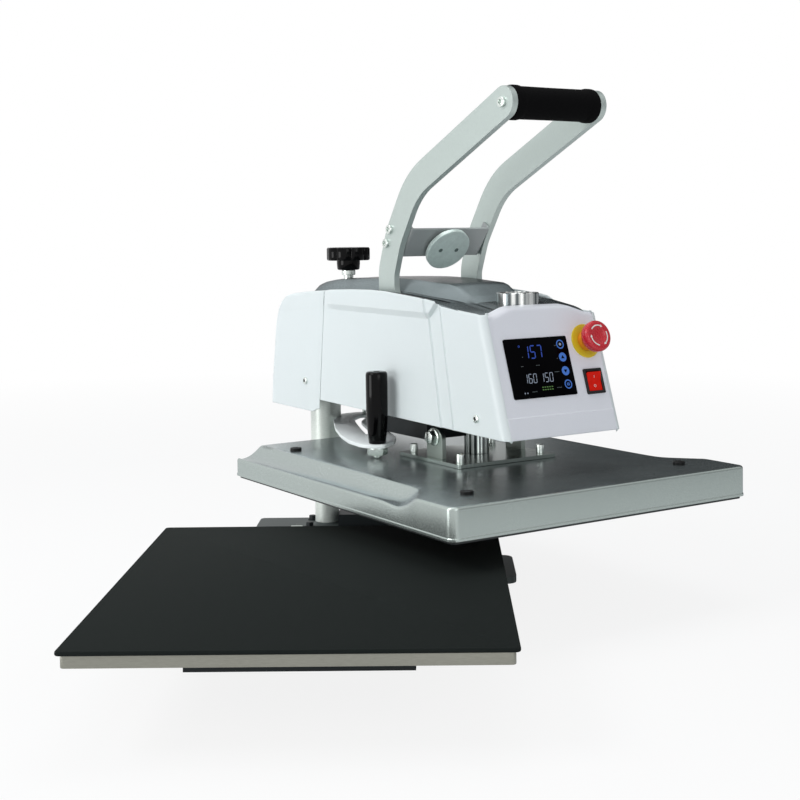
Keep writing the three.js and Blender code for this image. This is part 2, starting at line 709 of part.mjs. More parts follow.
// Head frame: two side plates on a floor, with a shelf for the magnet and a keel behind the ram
const floorPlate = box(-coreHalfW, coreHalfW, -FLOOR_REAR, FRAME_FRONT, FLOOR_Z, FLOOR_TOP);
const keel = box(-KEEL_HALF_W, KEEL_HALF_W, REACH - KEEL_FAR, REACH - KEEL_NEAR, FLOOR_Z - KEEL_DROP,
  FLOOR_Z + OVER).subtract(box(KEEL_T - KEEL_HALF_W, KEEL_HALF_W - KEEL_T, REACH - KEEL_FAR + KEEL_T,
  REACH - KEEL_NEAR - KEEL_T, FLOOR_Z - KEEL_DROP - OVER, FLOOR_Z));
const underTop = sideways(topLine, SHELL + SEAT);
const frameOutline = [[underTop[0].x, FLOOR_Z], ...underTop, [underTop.at(-1).x, FLOOR_Z]];
const framePlates = Object.values(SIDES).map((side) => {
  const edges = [side * FRAME_HALF_W, side * (FRAME_HALF_W - FRAME_T)].sort((a, b) => a - b);
  const whole = slab(frameOutline, X(edges[0]), X(edges[1]));
  return whole.intersect(box(edges[0] - OVER, edges[1] + OVER, topRear, FRAME_FRONT, FLOOR_Z, caseTop));
});
const channelHalfW = FRAME_HALF_W - FRAME_T - SEAT;
const magnetFloor = MAGNET_TOP - MAGNET_H - SEAT;
const shelf = box(-FRAME_HALF_W + OVER, FRAME_HALF_W - OVER, MAGNET_U - MAGNET_R, MAGNET_U + MAGNET_R,
  magnetFloor - FLOOR_T, magnetFloor);
const bushR = SHAFT_R + RUN + BUSH_WALL;
const frameHoles = [
  rod(0, 0, FLOOR_Z - OVER, FLOOR_TOP + OVER, SLEEVE_R + SEAT, 40),
  rod(X(0), Y(REACH), FLOOR_Z - OVER, FLOOR_TOP + OVER, GUIDE_R + SEAT, 36),
  barX(X(-FRAME_HALF_W - OVER), X(FRAME_HALF_W + OVER), Y(PIVOT_U), PIVOT_H, bushR + SEAT),
];
add(head, 'head_frame', cut(joined([floorPlate, ...framePlates, shelf, keel]), frameHoles), 'dark');

// Swing block clamped round the sleeve between the frame's side plates
const blockTop = sleeveTop - BLOCK_DROP;
const swingBlock = box(-channelHalfW, channelHalfW, -BLOCK_REAR, BLOCK_FRONT, FLOOR_TOP + SEAT, blockTop);
const sleeveRoom = rod(0, 0, FLOOR_TOP - OVER, blockTop + OVER, SLEEVE_R + SEAT, 40);
add(head, 'swing_block', swingBlock.subtract(sleeveRoom), 'steel');

// Ram guide: a flanged bush through the floor
const guideFlangeZ = FLOOR_Z - SEAT - GUIDE_FLANGE_T;
add(head, 'ram_guide', turned(X(0), Y(REACH), [
  [RAM_R + RUN, FLOOR_Z - GUIDE_DROP], [GUIDE_R, FLOOR_Z - GUIDE_DROP], [GUIDE_R, guideFlangeZ],
  [GUIDE_FLANGE_R, guideFlangeZ], [GUIDE_FLANGE_R, FLOOR_Z - SEAT], [GUIDE_R, FLOOR_Z - SEAT],
  [GUIDE_R, FLOOR_TOP - SEAT], [RAM_R + RUN, FLOOR_TOP - SEAT], [RAM_R + RUN, FLOOR_Z - GUIDE_DROP],
], 36), 'bronze');

// Rear cover: the tail of the casing, open below and towards the side covers
const casing = slab(sideOutline, X(-HEAD_HALF_W), X(HEAD_HALF_W));
const hollowOutline = inset(sideOutline, SHELL).map(([u, z], i, all) => (
  [u, i >= all.length - 2 ? z - SHELL - OVER : z]));
const hollow = slab(hollowOutline, X(SHELL - HEAD_HALF_W), X(HEAD_HALF_W - SHELL));
const rearZ = CASE_Z - REAR_DROP;
const rearRegion = slab(rounded([
  [-HEAD_REAR - OVER, rearZ, 0], [seamAt(rearZ), rearZ, SEAM_CORNER_R],
  [seamAt(caseTop + OVER), caseTop + OVER, 0], [-HEAD_REAR - OVER, caseTop + OVER, 0],
], 0), X(-HEAD_HALF_W - OVER), X(HEAD_HALF_W + OVER));
const topGap = box(SHELL - HEAD_HALF_W, HEAD_HALF_W - SHELL, topRear - SEAT, HEAD_FRONT, FLOOR_TOP,
  caseTop + OVER);
const inletRoom = box(INLET_X - INLET_W / 2 - SEAT, INLET_X + INLET_W / 2 + SEAT, -HEAD_REAR - OVER,
  -HEAD_REAR + INLET_DEPTH, CASE_Z + INLET_RISE - SEAT, CASE_Z + INLET_RISE + INLET_H + SEAT);
add(head, 'rear_cover', cut(casing, [hollow, topGap, inletRoom]).intersect(rearRegion), 'white');

// Side covers: moulded walls with a pressed groove under the top band
const sideRegion = [
  [seamAt(CASE_Z + SIDE_LIFT) + SEAT, CASE_Z + SIDE_LIFT], [HEAD_FRONT + OVER, CASE_Z],
  [HEAD_FRONT + OVER, caseTop + OVER], [seamAt(caseTop + OVER) + SEAT, caseTop + OVER],
];
for (const [name, side] of Object.entries(SIDES)) {
  const walls = [side * (HEAD_HALF_W - SHELL), side * HEAD_HALF_W].sort((a, b) => a - b);
  const wall = slab(sideOutline, X(walls[0]), X(walls[1]));
  const face = [side * (HEAD_HALF_W - GROOVE_D), side * (HEAD_HALF_W + OVER)].sort((a, b) => a - b);
  const groove = slab([
    [GROOVE_REAR, GROOVE_Z], [GROOVE_FRONT, GROOVE_Z], [GROOVE_FRONT, GROOVE_Z + GROOVE_H],
  ], X(face[0]), X(face[1]));
  const region = slab(sideRegion, X(walls[0] - OVER), X(walls[1] + OVER));
  add(head, `side_cover_${name}`, wall.subtract(groove).intersect(region), 'white');
}

// Top cover: a bent sheet with a raised spine, slots for the arms and a hole for the magnet
const sheet = slab(strip(topLine, SHELL), X(-coreHalfW), X(coreHalfW));
const spineForm = (inward) => {
  const low = CASE_Z;
  const high = CASE_Z + HEAD_RISE + HUMP_ROOM - inward;
  const section = [[X(inward - HUMP_FLOOR_HALF_W), low], [X(HUMP_FLOOR_HALF_W - inward), low],
    [X(HUMP_HALF_W - inward), high], [X(inward - HUMP_HALF_W), high]];
  const ridge = inset(HUMP_SHARES.map(inCase), inward).map(([u, z], i, all) => (
    [u, i === 0 || i === all.length - 1 ? z - inward - SHELL : z]));
  return bar(section, -HEAD_REAR, HEAD_FRONT).intersect(slab(ridge, X(-HEAD_HALF_W), X(HEAD_HALF_W)));
};
const armRoom = ARM_T / 2 + SLOT_PLAY;
const slots = Object.values(SIDES).map((side) => box(side * ARM_OFFSET - armRoom, side * ARM_OFFSET + armRoom,
  PIVOT_U - SLOT_BACK, PIVOT_U + SLOT_AHEAD, CASE_Z, caseTop + OVER));
const magnetHole = rod(X(0), Y(MAGNET_U), CASE_Z, caseTop + HUMP_ROOM, MAGNET_R + SEAT, 36);
const spindleHole = rod(X(0), Y(KNOB_U), CASE_Z, caseTop + HUMP_ROOM, SPINDLE_R + RUN, 28);
add(head, 'top_cover', cut(sheet.add(spineForm(0)), [spineForm(SHELL), ...slots, magnetHole, spindleHole]),
  'sheet');

// Control panel: it has a frame of its own, with X across, Y up its slope and Z outwards
const [panelTop, panelCrease] = panelLine.slice(1);
const panelLean = Math.atan2(panelTop[1] - panelCrease[1], panelCrease[0] - panelTop[0]);
const panel = new THREE.Group();
panel.position.set(CENTRE_X, Y(panelCrease[0]), panelCrease[1]);
panel.rotation.x = panelLean;
head.add(panel);
panel.updateMatrix();
const panelBack = -SHELL - SEAT;
const onPanel = (item) => moved(item, panel.matrix);
const studs = [-1, 1].flatMap((a) => [-1, 1].map((b) => rod(
  DISPLAY_X + a * (BOARD_W / 2 - BOARD_STUD_INSET), DISPLAY_RISE + b * (BOARD_H / 2 - BOARD_STUD_INSET),
  -SHELL - BOARD_GAP + SEAT, -SHELL / 2, BOARD_STUD_R, 12)));
const panelSheet = slab(strip(panelLine, SHELL), X(-coreHalfW), X(coreHalfW));
const stopHole = rod(STOP_X, STOP_RISE, panelBack - OVER, OVER, STOP_HOLE_R + SEAT, 28);
const rockerCase = [ROCKER_W / 2 - ROCKER_RIM / 2, ROCKER_H / 2 - ROCKER_RIM / 2];
const rockerHole = block(ROCKER_X - rockerCase[0] - SEAT, ROCKER_X + rockerCase[0] + SEAT,
  ROCKER_RISE - rockerCase[1] - SEAT, ROCKER_RISE + rockerCase[1] + SEAT, panelBack - OVER, OVER);
add(head, 'control_panel', cut(joined([panelSheet, ...studs.map(onPanel)]),
  [stopHole, rockerHole].map(onPanel)), 'panel');
add(panel, 'display', block(DISPLAY_X - DISPLAY_W / 2, DISPLAY_X + DISPLAY_W / 2,
  DISPLAY_RISE - DISPLAY_H / 2, DISPLAY_RISE + DISPLAY_H / 2, SEAT, SEAT + DISPLAY_T), 'glass');
add(panel, 'controller_board', block(DISPLAY_X - BOARD_W / 2, DISPLAY_X + BOARD_W / 2,
  DISPLAY_RISE - BOARD_H / 2, DISPLAY_RISE + BOARD_H / 2, -SHELL - BOARD_GAP - BOARD_T, -SHELL - BOARD_GAP),
'board');

// Emergency stop: a yellow disc, a neck with the switch behind the panel, and the button
const discTop = SEAT + STOP_RING_T;
const neckTop = discTop + SEAT + STOP_NECK_H;
add(panel, 'stop_disc', ring(STOP_X, STOP_RISE, SEAT, discTop, STOP_HOLE_R + SEAT, STOP_RING_R), 'yellow');
const stemRoom = STOP_STEM_R + RUN;
add(panel, 'stop_switch', turned(STOP_X, STOP_RISE, [
  [0, panelBack - STOP_DEPTH], [STOP_CASE_R, panelBack - STOP_DEPTH], [STOP_CASE_R, panelBack],
  [STOP_HOLE_R, panelBack], [STOP_HOLE_R, discTop + SEAT], [STOP_NECK_R, discTop + SEAT],
  [STOP_NECK_R, neckTop], [stemRoom, neckTop], [stemRoom, -SHELL - STOP_TRAVEL - RUN],
  [0, -SHELL - STOP_TRAVEL - RUN],
], 28), 'orange');
const stopBack = neckTop + STOP_TRAVEL + RUN;
const stopFront = stopBack + STOP_H;
add(panel, 'stop_button', turned(STOP_X, STOP_RISE, [
  [0, -SHELL], [STOP_STEM_R, -SHELL], [STOP_STEM_R, stopBack], [STOP_R - STOP_EDGE_R, stopBack],
  [STOP_R, stopBack + STOP_EDGE_R], [STOP_R, stopFront - STOP_EDGE_R],
  [STOP_R - STOP_EDGE_R, stopFront], [0, stopFront],
], 32), 'red');

// Mains rocker in its bezel
const rimTop = SEAT + ROCKER_RIM_T;
const mouth = [ROCKER_W / 2 - ROCKER_RIM, ROCKER_H / 2 - ROCKER_RIM];
const around = (halves, z0, z1) => block(ROCKER_X - halves[0], ROCKER_X + halves[0],
  ROCKER_RISE - halves[1], ROCKER_RISE + halves[1], z0, z1);
add(panel, 'rocker_bezel', joined([
  around([ROCKER_W / 2, ROCKER_H / 2], SEAT, rimTop),
  around(rockerCase, -ROCKER_DEPTH, rimTop),
]).subtract(around(mouth, -ROCKER_DEPTH + ROCKER_RIM / 2, rimTop + OVER)), 'black');
const keyHalf = mouth[1] - ROCKER_PLAY;
const keyOutline = [[-keyHalf, rimTop], [0, rimTop - keyHalf * Math.tan(ROCKER_RAD)], [keyHalf, rimTop],
  [keyHalf / 2, rimTop - ROCKER_KEY_H], [-keyHalf / 2, rimTop - ROCKER_KEY_H]];
const key = new THREE.Group();
key.position.set(ROCKER_X, ROCKER_RISE, 0);
key.rotation.x = ROCKER_RAD;
panel.add(key);
const keyWidth = mouth[0] - RUN;
const keyForm = extrude(keyOutline, keyWidth * 2);
keyForm.rotateY(Math.PI / 2);
keyForm.rotateX(Math.PI / 2);
keyForm.translate(-keyWidth, 0, 0);
add(key, 'power_rocker', solid(keyForm), 'red');

// Electromagnet in its pot on the frame's shelf
const potWall = MAGNET_R - MAGNET_WALL;
add(head, 'magnet_pot', turned(X(0), Y(MAGNET_U), [
  [0, MAGNET_TOP - MAGNET_H], [MAGNET_R, MAGNET_TOP - MAGNET_H], [MAGNET_R, MAGNET_TOP],
  [potWall, MAGNET_TOP], [potWall, MAGNET_TOP - MAGNET_H + MAGNET_FLOOR],
  [MAGNET_CORE_R, MAGNET_TOP - MAGNET_H + MAGNET_FLOOR], [MAGNET_CORE_R, MAGNET_TOP], [0, MAGNET_TOP],
], 36), 'steel');
add(head, 'magnet_coil', ring(X(0), Y(MAGNET_U), MAGNET_TOP - MAGNET_H + MAGNET_FLOOR + SEAT,
  MAGNET_TOP - COIL_SUNK, MAGNET_CORE_R + SEAT, potWall - SEAT), 'copper');

// Power inlet through the rear cover
const inletZ = CASE_Z + INLET_RISE;
const inletBody = box(INLET_X - INLET_W / 2, INLET_X + INLET_W / 2, -HEAD_REAR + INLET_SUNK,
  -HEAD_REAR + INLET_DEPTH, inletZ, inletZ + INLET_H);
const inletMouth = box(INLET_X - INLET_W / 2 + INLET_WALL, INLET_X + INLET_W / 2 - INLET_WALL,
  -HEAD_REAR + INLET_SUNK - OVER, -HEAD_REAR + INLET_DEPTH - INLET_WALL, inletZ + INLET_WALL,
  inletZ + INLET_H - INLET_WALL);
add(head, 'power_inlet', inletBody.subtract(inletMouth), 'black');

// Pressure knob with its spindle, standing on the swing block, and the nut it drives
const spindleCollarZ = inCase(HUMP_SHARES[2])[1] + KNOB_GAP;
const hubZ = spindleCollarZ + SPINDLE_COLLAR_H;
const hubTop = hubZ + KNOB_HUB_H;
const spindleZ = blockTop + SEAT;
const lobeSteps = KNOB_LOBES * LOBE_STEPS;
const lobes = Array.from({ length: lobeSteps }, (_, i) => {
  const angle = i / lobeSteps * Math.PI * 2;
  const radius = KNOB_R - KNOB_LOBE_D * (1 - Math.cos(KNOB_LOBES * angle)) / 2;
  return [X(radius * Math.cos(angle)), Y(KNOB_U + radius * Math.sin(angle))];
});
add(head, 'pressure_knob', joined([
  plate(lobes, hubTop, hubTop + KNOB_H),
  rod(X(0), Y(KNOB_U), hubZ, hubTop + OVER, KNOB_HUB_R),
  rod(X(0), Y(KNOB_U), spindleCollarZ, hubZ + OVER, SPINDLE_COLLAR_R),
  rod(X(0), Y(KNOB_U), spindleZ, hubZ, SPINDLE_R),
]), 'black');
const nutZ = blockTop + NUT_RISE;
const nut = box(-channelHalfW, channelHalfW, KNOB_U - NUT_L / 2, KNOB_U + NUT_L / 2, nutZ, nutZ + NUT_H);
add(head, 'pressure_nut', nut.subtract(rod(X(0), Y(KNOB_U), nutZ - OVER, nutZ + NUT_H + OVER,
  SPINDLE_R + RUN)), 'steel');

// Swing handle on its bow-shaped bracket
const bowZ = PAD_TOP + BRACKET_Z;
const bowTop = bowZ + BRACKET_T;
const inBow = ([u, w, r = 0]) => [X(w * SWING_GRIP_W), Y(u * SWING_GRIP_U), r * SWING_GRIP_U];
const bow = rounded(BOW_SHARES.map(inBow), 0, true, 2);
const crescent = rounded(CRESCENT_SHARES.map(inBow), 0, true, 2);
const spacers = SPACER_SHARES.map(inBow).map(([x, y]) => (
  rod(x, y, bowTop - SEAT, FLOOR_Z - SEAT, SPACER_R, 20)));
const gripX = X(-SWING_GRIP_W);
const gripY = Y(SWING_GRIP_U);
const bowHoles = [
  plate(crescent, bowZ - OVER, bowTop + OVER),
  rod(0, 0, bowZ - OVER, bowTop + OVER, SLEEVE_R + RUN, 40),
  rod(gripX, gripY, bowZ - OVER, bowTop + OVER, SWING_STUD_R + SEAT),
];
add(head, 'swing_bracket', joined([cut(plate(bow, bowZ, bowTop), bowHoles), ...spacers]), 'white');
const footZ = bowTop + SEAT;
const gripTop = footZ + SWING_GRIP_H;
const studZ = bowZ - SEAT - SWING_NUT_H - SWING_STUD_END;
add(head, 'swing_grip', turned(gripX, gripY, [
  [0, studZ], [SWING_STUD_R, studZ], [SWING_STUD_R, footZ], [SWING_GRIP_FOOT_R, footZ],
  [SWING_GRIP_R, footZ + SWING_TAPER_H], [SWING_GRIP_R, gripTop - SWING_EDGE_R],
  [SWING_GRIP_R - SWING_EDGE_R, gripTop], [0, gripTop],
], 28), 'black');
const nutTop = bowZ - SEAT;
add(head, 'swing_nut', rod(gripX, gripY, nutTop - SWING_NUT_H, nutTop, SWING_NUT_R, 6).subtract(
  rod(gripX, gripY, nutTop - SWING_NUT_H - OVER, nutTop + OVER, SWING_STUD_R + SEAT)), 'zinc');

// Handle shaft with the crank welded on it, in bushes in the frame
const shaftEnd = ARM_OFFSET + ARM_T / 2 + SHAFT_OVERHANG;
const crankEnd = (u, z, radius, x) => Array.from({ length: CRANK_STEPS }, (_, i) => {
  const angle = i / CRANK_STEPS * Math.PI * 2;
  return new THREE.Vector3(x, Y(u + radius * Math.cos(angle)), z + radius * Math.sin(angle));
});
const crank = hull([X(-CRANK_T / 2), X(CRANK_T / 2)].flatMap((x) => [
  ...crankEnd(PIVOT_U, PIVOT_H, CRANK_HUB_R, x), ...crankEnd(pinU, pinZ, CRANK_HALF_H, x)]));
add(head, 'crank_shaft', joined([
  barX(X(-shaftEnd), X(shaftEnd), Y(PIVOT_U), PIVOT_H, SHAFT_R),
  crank,
  barX(X(-CRANK_PIN_HALF_L), X(CRANK_PIN_HALF_L), Y(pinU), pinZ, CRANK_PIN_R, 20),
]), 'steel');
for (const [name, side] of Object.entries(SIDES)) {
  const ends = [side * channelHalfW, side * (FRAME_HALF_W + BUSH_PROUD)].sort((a, b) => a - b);
  const outer = barX(X(ends[0]), X(ends[1]), Y(PIVOT_U), PIVOT_H, bushR);
  const bore = barX(X(ends[0] - OVER), X(ends[1] + OVER), Y(PIVOT_U), PIVOT_H, SHAFT_R + RUN);
  add(head, `shaft_bush_${name}`, outer.subtract(bore), 'bronze');
}

// Handle arms: bent bars from the shaft up to the grip, whose tube is screwed between them
const inArm = ([u, z, r]) => [u, PAD_TOP + z, r];
const legU = PIVOT_U - LEG_BACK;
const armLine = rounded([[PIVOT_U, PIVOT_Z], [legU, LEG_Z, LEG_BEND_R], [legU, KNEE_Z, LEG_BEND_R],
  [PIVOT_U - MID_BACK, MID_Z, ARM_BEND_R], [PIVOT_U - BEND_BACK, BEND_Z, ARM_BEND_R],
  [GRIP_U, GRIP_Z]].map(inArm), 0, false, 3);
const gripH = PAD_TOP + GRIP_Z;
for (const [name, side] of Object.entries(SIDES)) {
  const edges = [side * ARM_OFFSET - ARM_T / 2, side * ARM_OFFSET + ARM_T / 2];
  const arm = slab(ribbon(armLine, ARM_W / 2), X(edges[0]), X(edges[1]));
  const bores = [[PIVOT_U, PIVOT_H, SHAFT_R], [GRIP_U, gripH, GRIP_SCREW_R]].map(([u, z, radius]) => (
    barX(X(edges[0] - OVER), X(edges[1] + OVER), Y(u), z, radius + SEAT, 24)));
  add(head, `handle_arm_${name}`, cut(arm, bores), 'steel');
}
const foamEnd = ARM_OFFSET - ARM_T / 2 - SEAT;
const screwSeat = ARM_OFFSET + ARM_T / 2 + SEAT;
const screwEnd = screwSeat + GRIP_HEAD_H;
add(head, 'grip_tube', joined([
  barX(X(-foamEnd), X(foamEnd), Y(GRIP_U), gripH, GRIP_TUBE_R),
  barX(X(-screwEnd), X(screwEnd), Y(GRIP_U), gripH, GRIP_SCREW_R, 20),
  barX(X(-screwEnd), X(-screwSeat), Y(GRIP_U), gripH, GRIP_HEAD_R, 24),
  barX(X(screwSeat), X(screwEnd), Y(GRIP_U), gripH, GRIP_HEAD_R, 24),
]), 'steel');
add(head, 'foam_grip', barX(X(-foamEnd), X(foamEnd), Y(GRIP_U), gripH, GRIP_R, 32).subtract(
  barX(X(-foamEnd - OVER), X(foamEnd + OVER), Y(GRIP_U), gripH, GRIP_TUBE_R + SEAT)), 'foam');

// Cross plate and armature disc, drawn as they lie on the magnet and then turned back open
const raised = new THREE.Group();
raised.position.set(CENTRE_X, Y(PIVOT_U), PIVOT_H);
raised.rotation.x = -HANDLE_RAD;
head.add(raised);
const discY = PIVOT_U - MAGNET_U;
const faceZ = MAGNET_TOP + DISC_GAP - PIVOT_H;
const webZ = faceZ + DISC_T + DISC_BOSS_H;
const webY = discY - CROSS_AHEAD;
add(raised, 'armature_disc', joined([
  rod(0, discY, faceZ, faceZ + DISC_T, DISC_R, 40),
  rod(0, discY, faceZ, webZ - SEAT, DISC_BOSS_R, 20),
]), 'zinc');
const channel = block(-foamEnd, foamEnd, webY - CROSS_W / 2, webY + CROSS_W / 2, webZ, webZ + FLANGE_H);
const channelRoom = block(CROSS_T - foamEnd, foamEnd - CROSS_T, webY - CROSS_W / 2 - OVER,
  webY + CROSS_W / 2 + OVER, webZ + CROSS_T, webZ + FLANGE_H + OVER);
add(raised, 'cross_plate', channel.subtract(channelRoom), 'sheet');

export default root;
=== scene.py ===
import math

import bmesh
import bpy
from mathutils import Matrix, Vector


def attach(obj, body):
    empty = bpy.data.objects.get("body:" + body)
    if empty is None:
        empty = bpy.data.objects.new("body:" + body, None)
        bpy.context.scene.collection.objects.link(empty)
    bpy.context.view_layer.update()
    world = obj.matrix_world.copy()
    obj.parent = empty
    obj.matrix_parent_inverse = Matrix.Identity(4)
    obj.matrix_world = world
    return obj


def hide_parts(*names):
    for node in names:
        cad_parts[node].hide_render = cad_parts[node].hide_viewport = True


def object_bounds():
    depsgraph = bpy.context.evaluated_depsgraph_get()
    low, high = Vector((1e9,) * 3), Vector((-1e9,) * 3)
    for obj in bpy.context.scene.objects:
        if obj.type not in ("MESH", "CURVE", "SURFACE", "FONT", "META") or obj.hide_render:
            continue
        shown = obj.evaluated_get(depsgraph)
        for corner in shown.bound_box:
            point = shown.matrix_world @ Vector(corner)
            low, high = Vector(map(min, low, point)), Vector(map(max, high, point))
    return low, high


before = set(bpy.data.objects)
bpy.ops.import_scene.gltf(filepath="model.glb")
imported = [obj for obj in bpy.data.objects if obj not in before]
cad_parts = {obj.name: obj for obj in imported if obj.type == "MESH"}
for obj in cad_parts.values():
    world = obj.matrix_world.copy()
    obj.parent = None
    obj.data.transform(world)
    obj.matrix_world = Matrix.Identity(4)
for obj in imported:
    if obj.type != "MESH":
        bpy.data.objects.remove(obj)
cad_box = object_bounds()


# Camera
# A longish lens in front of the bed, to the right of its middle and a little above the
# casing, looking slightly down. The frame is shifted down to where the press stands.
LENS = 62.64
SHIFT_ACROSS, SHIFT_UP = -0.0222, -0.1296
EYE = (0.1639, -2.0337, 0.4469)
PAN, TILT, ROLL = 0.751, -2.698, -0.732
FAR_CLIP = 20


def moved(x, y, z):
    """A move, in the units of what it is used on."""
    return Matrix.Translation((x, y, z))


def spun(degrees, axis):
    """A turn round one of the three axes."""
    return Matrix.Rotation(math.radians(degrees), 4, axis)


camera = bpy.data.objects.new("camera", bpy.data.cameras.new("camera"))
bpy.context.scene.collection.objects.link(camera)
bpy.context.scene.camera = camera
camera.data.lens = LENS
camera.data.shift_x = SHIFT_ACROSS
camera.data.shift_y = SHIFT_UP
camera.data.clip_end = FAR_CLIP
camera.matrix_world = moved(*EYE) @ spun(PAN, "Z") @ spun(90 + TILT, "X") @ spun(ROLL, "Z")
bpy.context.scene.view_settings.view_transform = "Standard"


# Floor, room and lamps
# A seamless pale sweep under soft lamps. The camera, reflections and glass see it white,
# and the floor keeps the machine's shadow. One side of the room is unlit for reflections.
FLOOR_HALF = 9
FLOOR_GAP = 0.0002
# Which part of a reflection's direction is looked at, where the unlit side starts and is
# full, and how dark it gets: to the machine's right, behind it, and at the far right.
UNLIT = (("X", 0.0, -0.08, 1.0), ("Y", -0.2, -0.6, 1.0), ("X", -0.45, -0.95, 0.75))
# How far from the post the floor turns from keeping some shadow to plain white.
SHADOW_NEAR, SHADOW_FAR, SHADOW_WHITE = 0.9, 2.6, 0.86
FILL, FILL_UNLIT = 0.44, 0.04
# Each lamp's place in metres, its width, and its power in watts.
LAMPS = {
    "key lamp": ((-1.9, -1.3, 2.3), 1.6, 35),
    "low left lamp": ((-1.9, -1.1, 0.3), 1.0, 12),
    "front lamp": ((1.3, -2.5, 1.0), 1.4, 9),
    "top lamp": ((0.1, -0.2, 2.4), 1.6, 10),
}
LAMP_AIM = Vector((0.1, -0.35, 0.25))
LAMP_SHARE = 0.7


def linear(code):
    """Turns an sRGB hex value such as #dfe8e8 into the linear colour that Blender wants."""
    parts = [int(code[at:at + 2], 16) / 255 for at in (1, 3, 5)]
    return [p / 12.92 if p <= 0.04045 else ((p + 0.055) / 1.055) ** 2.4 for p in parts] + [1]


def add_node(tree, kind, settings=None, links=None):
    """Adds one node, gives it its settings and links what feeds it."""
    node = tree.nodes.new("ShaderNode" + kind)
    for key, value in (settings or {}).items():
        if isinstance(key, int) or key in node.inputs:
            node.inputs[key].default_value = value
        else:
            setattr(node, key, value)
    for key, source in (links or {}).items():
        tree.links.new(source, node.inputs[key])
    return node


def dark_side(tree):
    """How far a reflection looks to the studio's unlit side: far right, and behind to the right."""
    ways = add_node(tree, "LightPath")
    back = add_node(tree, "SeparateXYZ", None, {0: add_node(tree, "NewGeometry").outputs["Incoming"]})
    right, behind, far_right = [
        add_node(tree, "MapRange", {"From Min": start, "From Max": full, "To Min": 0.0, "To Max": most},
                 {"Value": back.outputs[part]}).outputs[0]
        for part, start, full, most in UNLIT]
    corner = add_node(tree, "Math", {"operation": "MULTIPLY"}, {0: right, 1: behind})
    dark = add_node(tree, "Math", {"operation": "MAXIMUM"}, {0: corner.outputs[0], 1: far_right})
    return add_node(tree, "Math", {"operation": "MULTIPLY"},
                    {0: dark.outputs[0], 1: ways.outputs["Is Glossy Ray"]}).outputs[0]


def straight_ray(tree):
    """A factor of 1 for what the camera or a pane of glass sees, and for a reflection of the lit side."""
    ways = add_node(tree, "LightPath")
    lit = add_node(tree, "Math", {"operation": "SUBTRACT"},
                   {0: ways.outputs["Is Glossy Ray"], 1: dark_side(tree)})
    seen = add_node(tree, "Math", {"operation": "MAXIMUM"},
                    {0: ways.outputs["Is Camera Ray"], 1: lit.outputs[0]})
    return add_node(tree, "Math", {"operation": "MAXIMUM"},
                    {0: seen.outputs[0], 1: ways.outputs["Is Transmission Ray"]}).outputs[0]


floor_mesh = bpy.data.meshes.new("floor")
bm = bmesh.new()
bmesh.ops.create_grid(bm, x_segments=2, y_segments=2, size=FLOOR_HALF)
bmesh.ops.translate(bm, verts=bm.verts, vec=(0, 0, cad_box[0].z - FLOOR_GAP))
bm.to_mesh(floor_mesh)
bm.free()
floor = bpy.data.objects.new("floor", floor_mesh)
bpy.context.scene.collection.objects.link(floor)

# Matt paper: no gloss, and white where it isn't shaded.
sweep = bpy.data.materials.new("Matt paper sweep")
sweep.use_nodes = True
tree = sweep.node_tree
paper = tree.nodes["Principled BSDF"]
paper.inputs["Base Color"].default_value = linear("#f4f5f6")
paper.inputs["Roughness"].default_value = 0.9
paper.inputs["Specular IOR Level"].default_value = 0.1
where = add_node(tree, "NewGeometry")
away = add_node(tree, "VectorMath", {"operation": "LENGTH"}, {0: where.outputs["Position"]})
bright = add_node(tree, "MapRange", {"From Min": SHADOW_NEAR, "From Max": SHADOW_FAR,
                                     "To Min": SHADOW_WHITE, "To Max": 1.0}, {"Value": away.outputs["Value"]})
share = add_node(tree, "Math", {"operation": "MULTIPLY"},
                 {0: bright.outputs[0], 1: straight_ray(tree)})
glow = add_node(tree, "Emission", {"Color": (1, 1, 1, 1), "Strength": 1.0})
blended = add_node(tree, "MixShader", None,
                   {0: share.outputs[0], 1: paper.outputs[0], 2: glow.outputs[0]})
tree.links.new(blended.outputs[0], tree.nodes["Material Output"].inputs["Surface"])
floor_mesh.materials.append(sweep)

room = bpy.data.worlds.new("room")
bpy.context.scene.world = room
room.use_nodes = True
tree = room.node_tree
weak = add_node(tree, "Math", {"operation": "MULTIPLY_ADD", 1: FILL_UNLIT - FILL, 2: FILL},
                {0: dark_side(tree)})
fill = add_node(tree, "Background", {"Color": linear("#eef2f6")}, {"Strength": weak.outputs[0]})
white = add_node(tree, "Background", {"Color": (1, 1, 1, 1), "Strength": 1})
both = add_node(tree, "MixShader", None, {0: straight_ray(tree), 1: fill.outputs[0], 2: white.outputs[0]})
tree.links.new(both.outputs[0], tree.nodes["World Output"].inputs["Surface"])

for name, (spot, width, watts) in LAMPS.items():
    lamp = bpy.data.lights.new(name, "AREA")
    lamp.shape = "RECTANGLE"
    lamp.size = width
    lamp.size_y = width * LAMP_SHARE
    lamp.energy = watts
    holder = bpy.data.objects.new(name, lamp)
    bpy.context.scene.collection.objects.link(holder)
    holder.location = spot
    holder.rotation_mode = "QUATERNION"
    holder.rotation_quaternion = (LAMP_AIM - Vector(spot)).to_track_quat("-Z", "Y")


# Base plate and feet
# A spine, a wide cross foot and a front toe cut from one 8 mm steel sheet, powder coated
# slate grey. Moulded rubber feet are screwed to its underside.
MM = 0.001
# Every finish drifts a little over a hand's width, beside its own finer grain.
CLOUD_WIDTH, CLOUD_SHARE = 90, 0.4
DRIFT_LOW, DRIFT_HIGH = 0.35, 1.0
GLOSS_LOW, GLOSS_HIGH = 0.3, 1.0
GRAZE_FULL = 0.92
LEAST_ROUGHNESS = 0.02


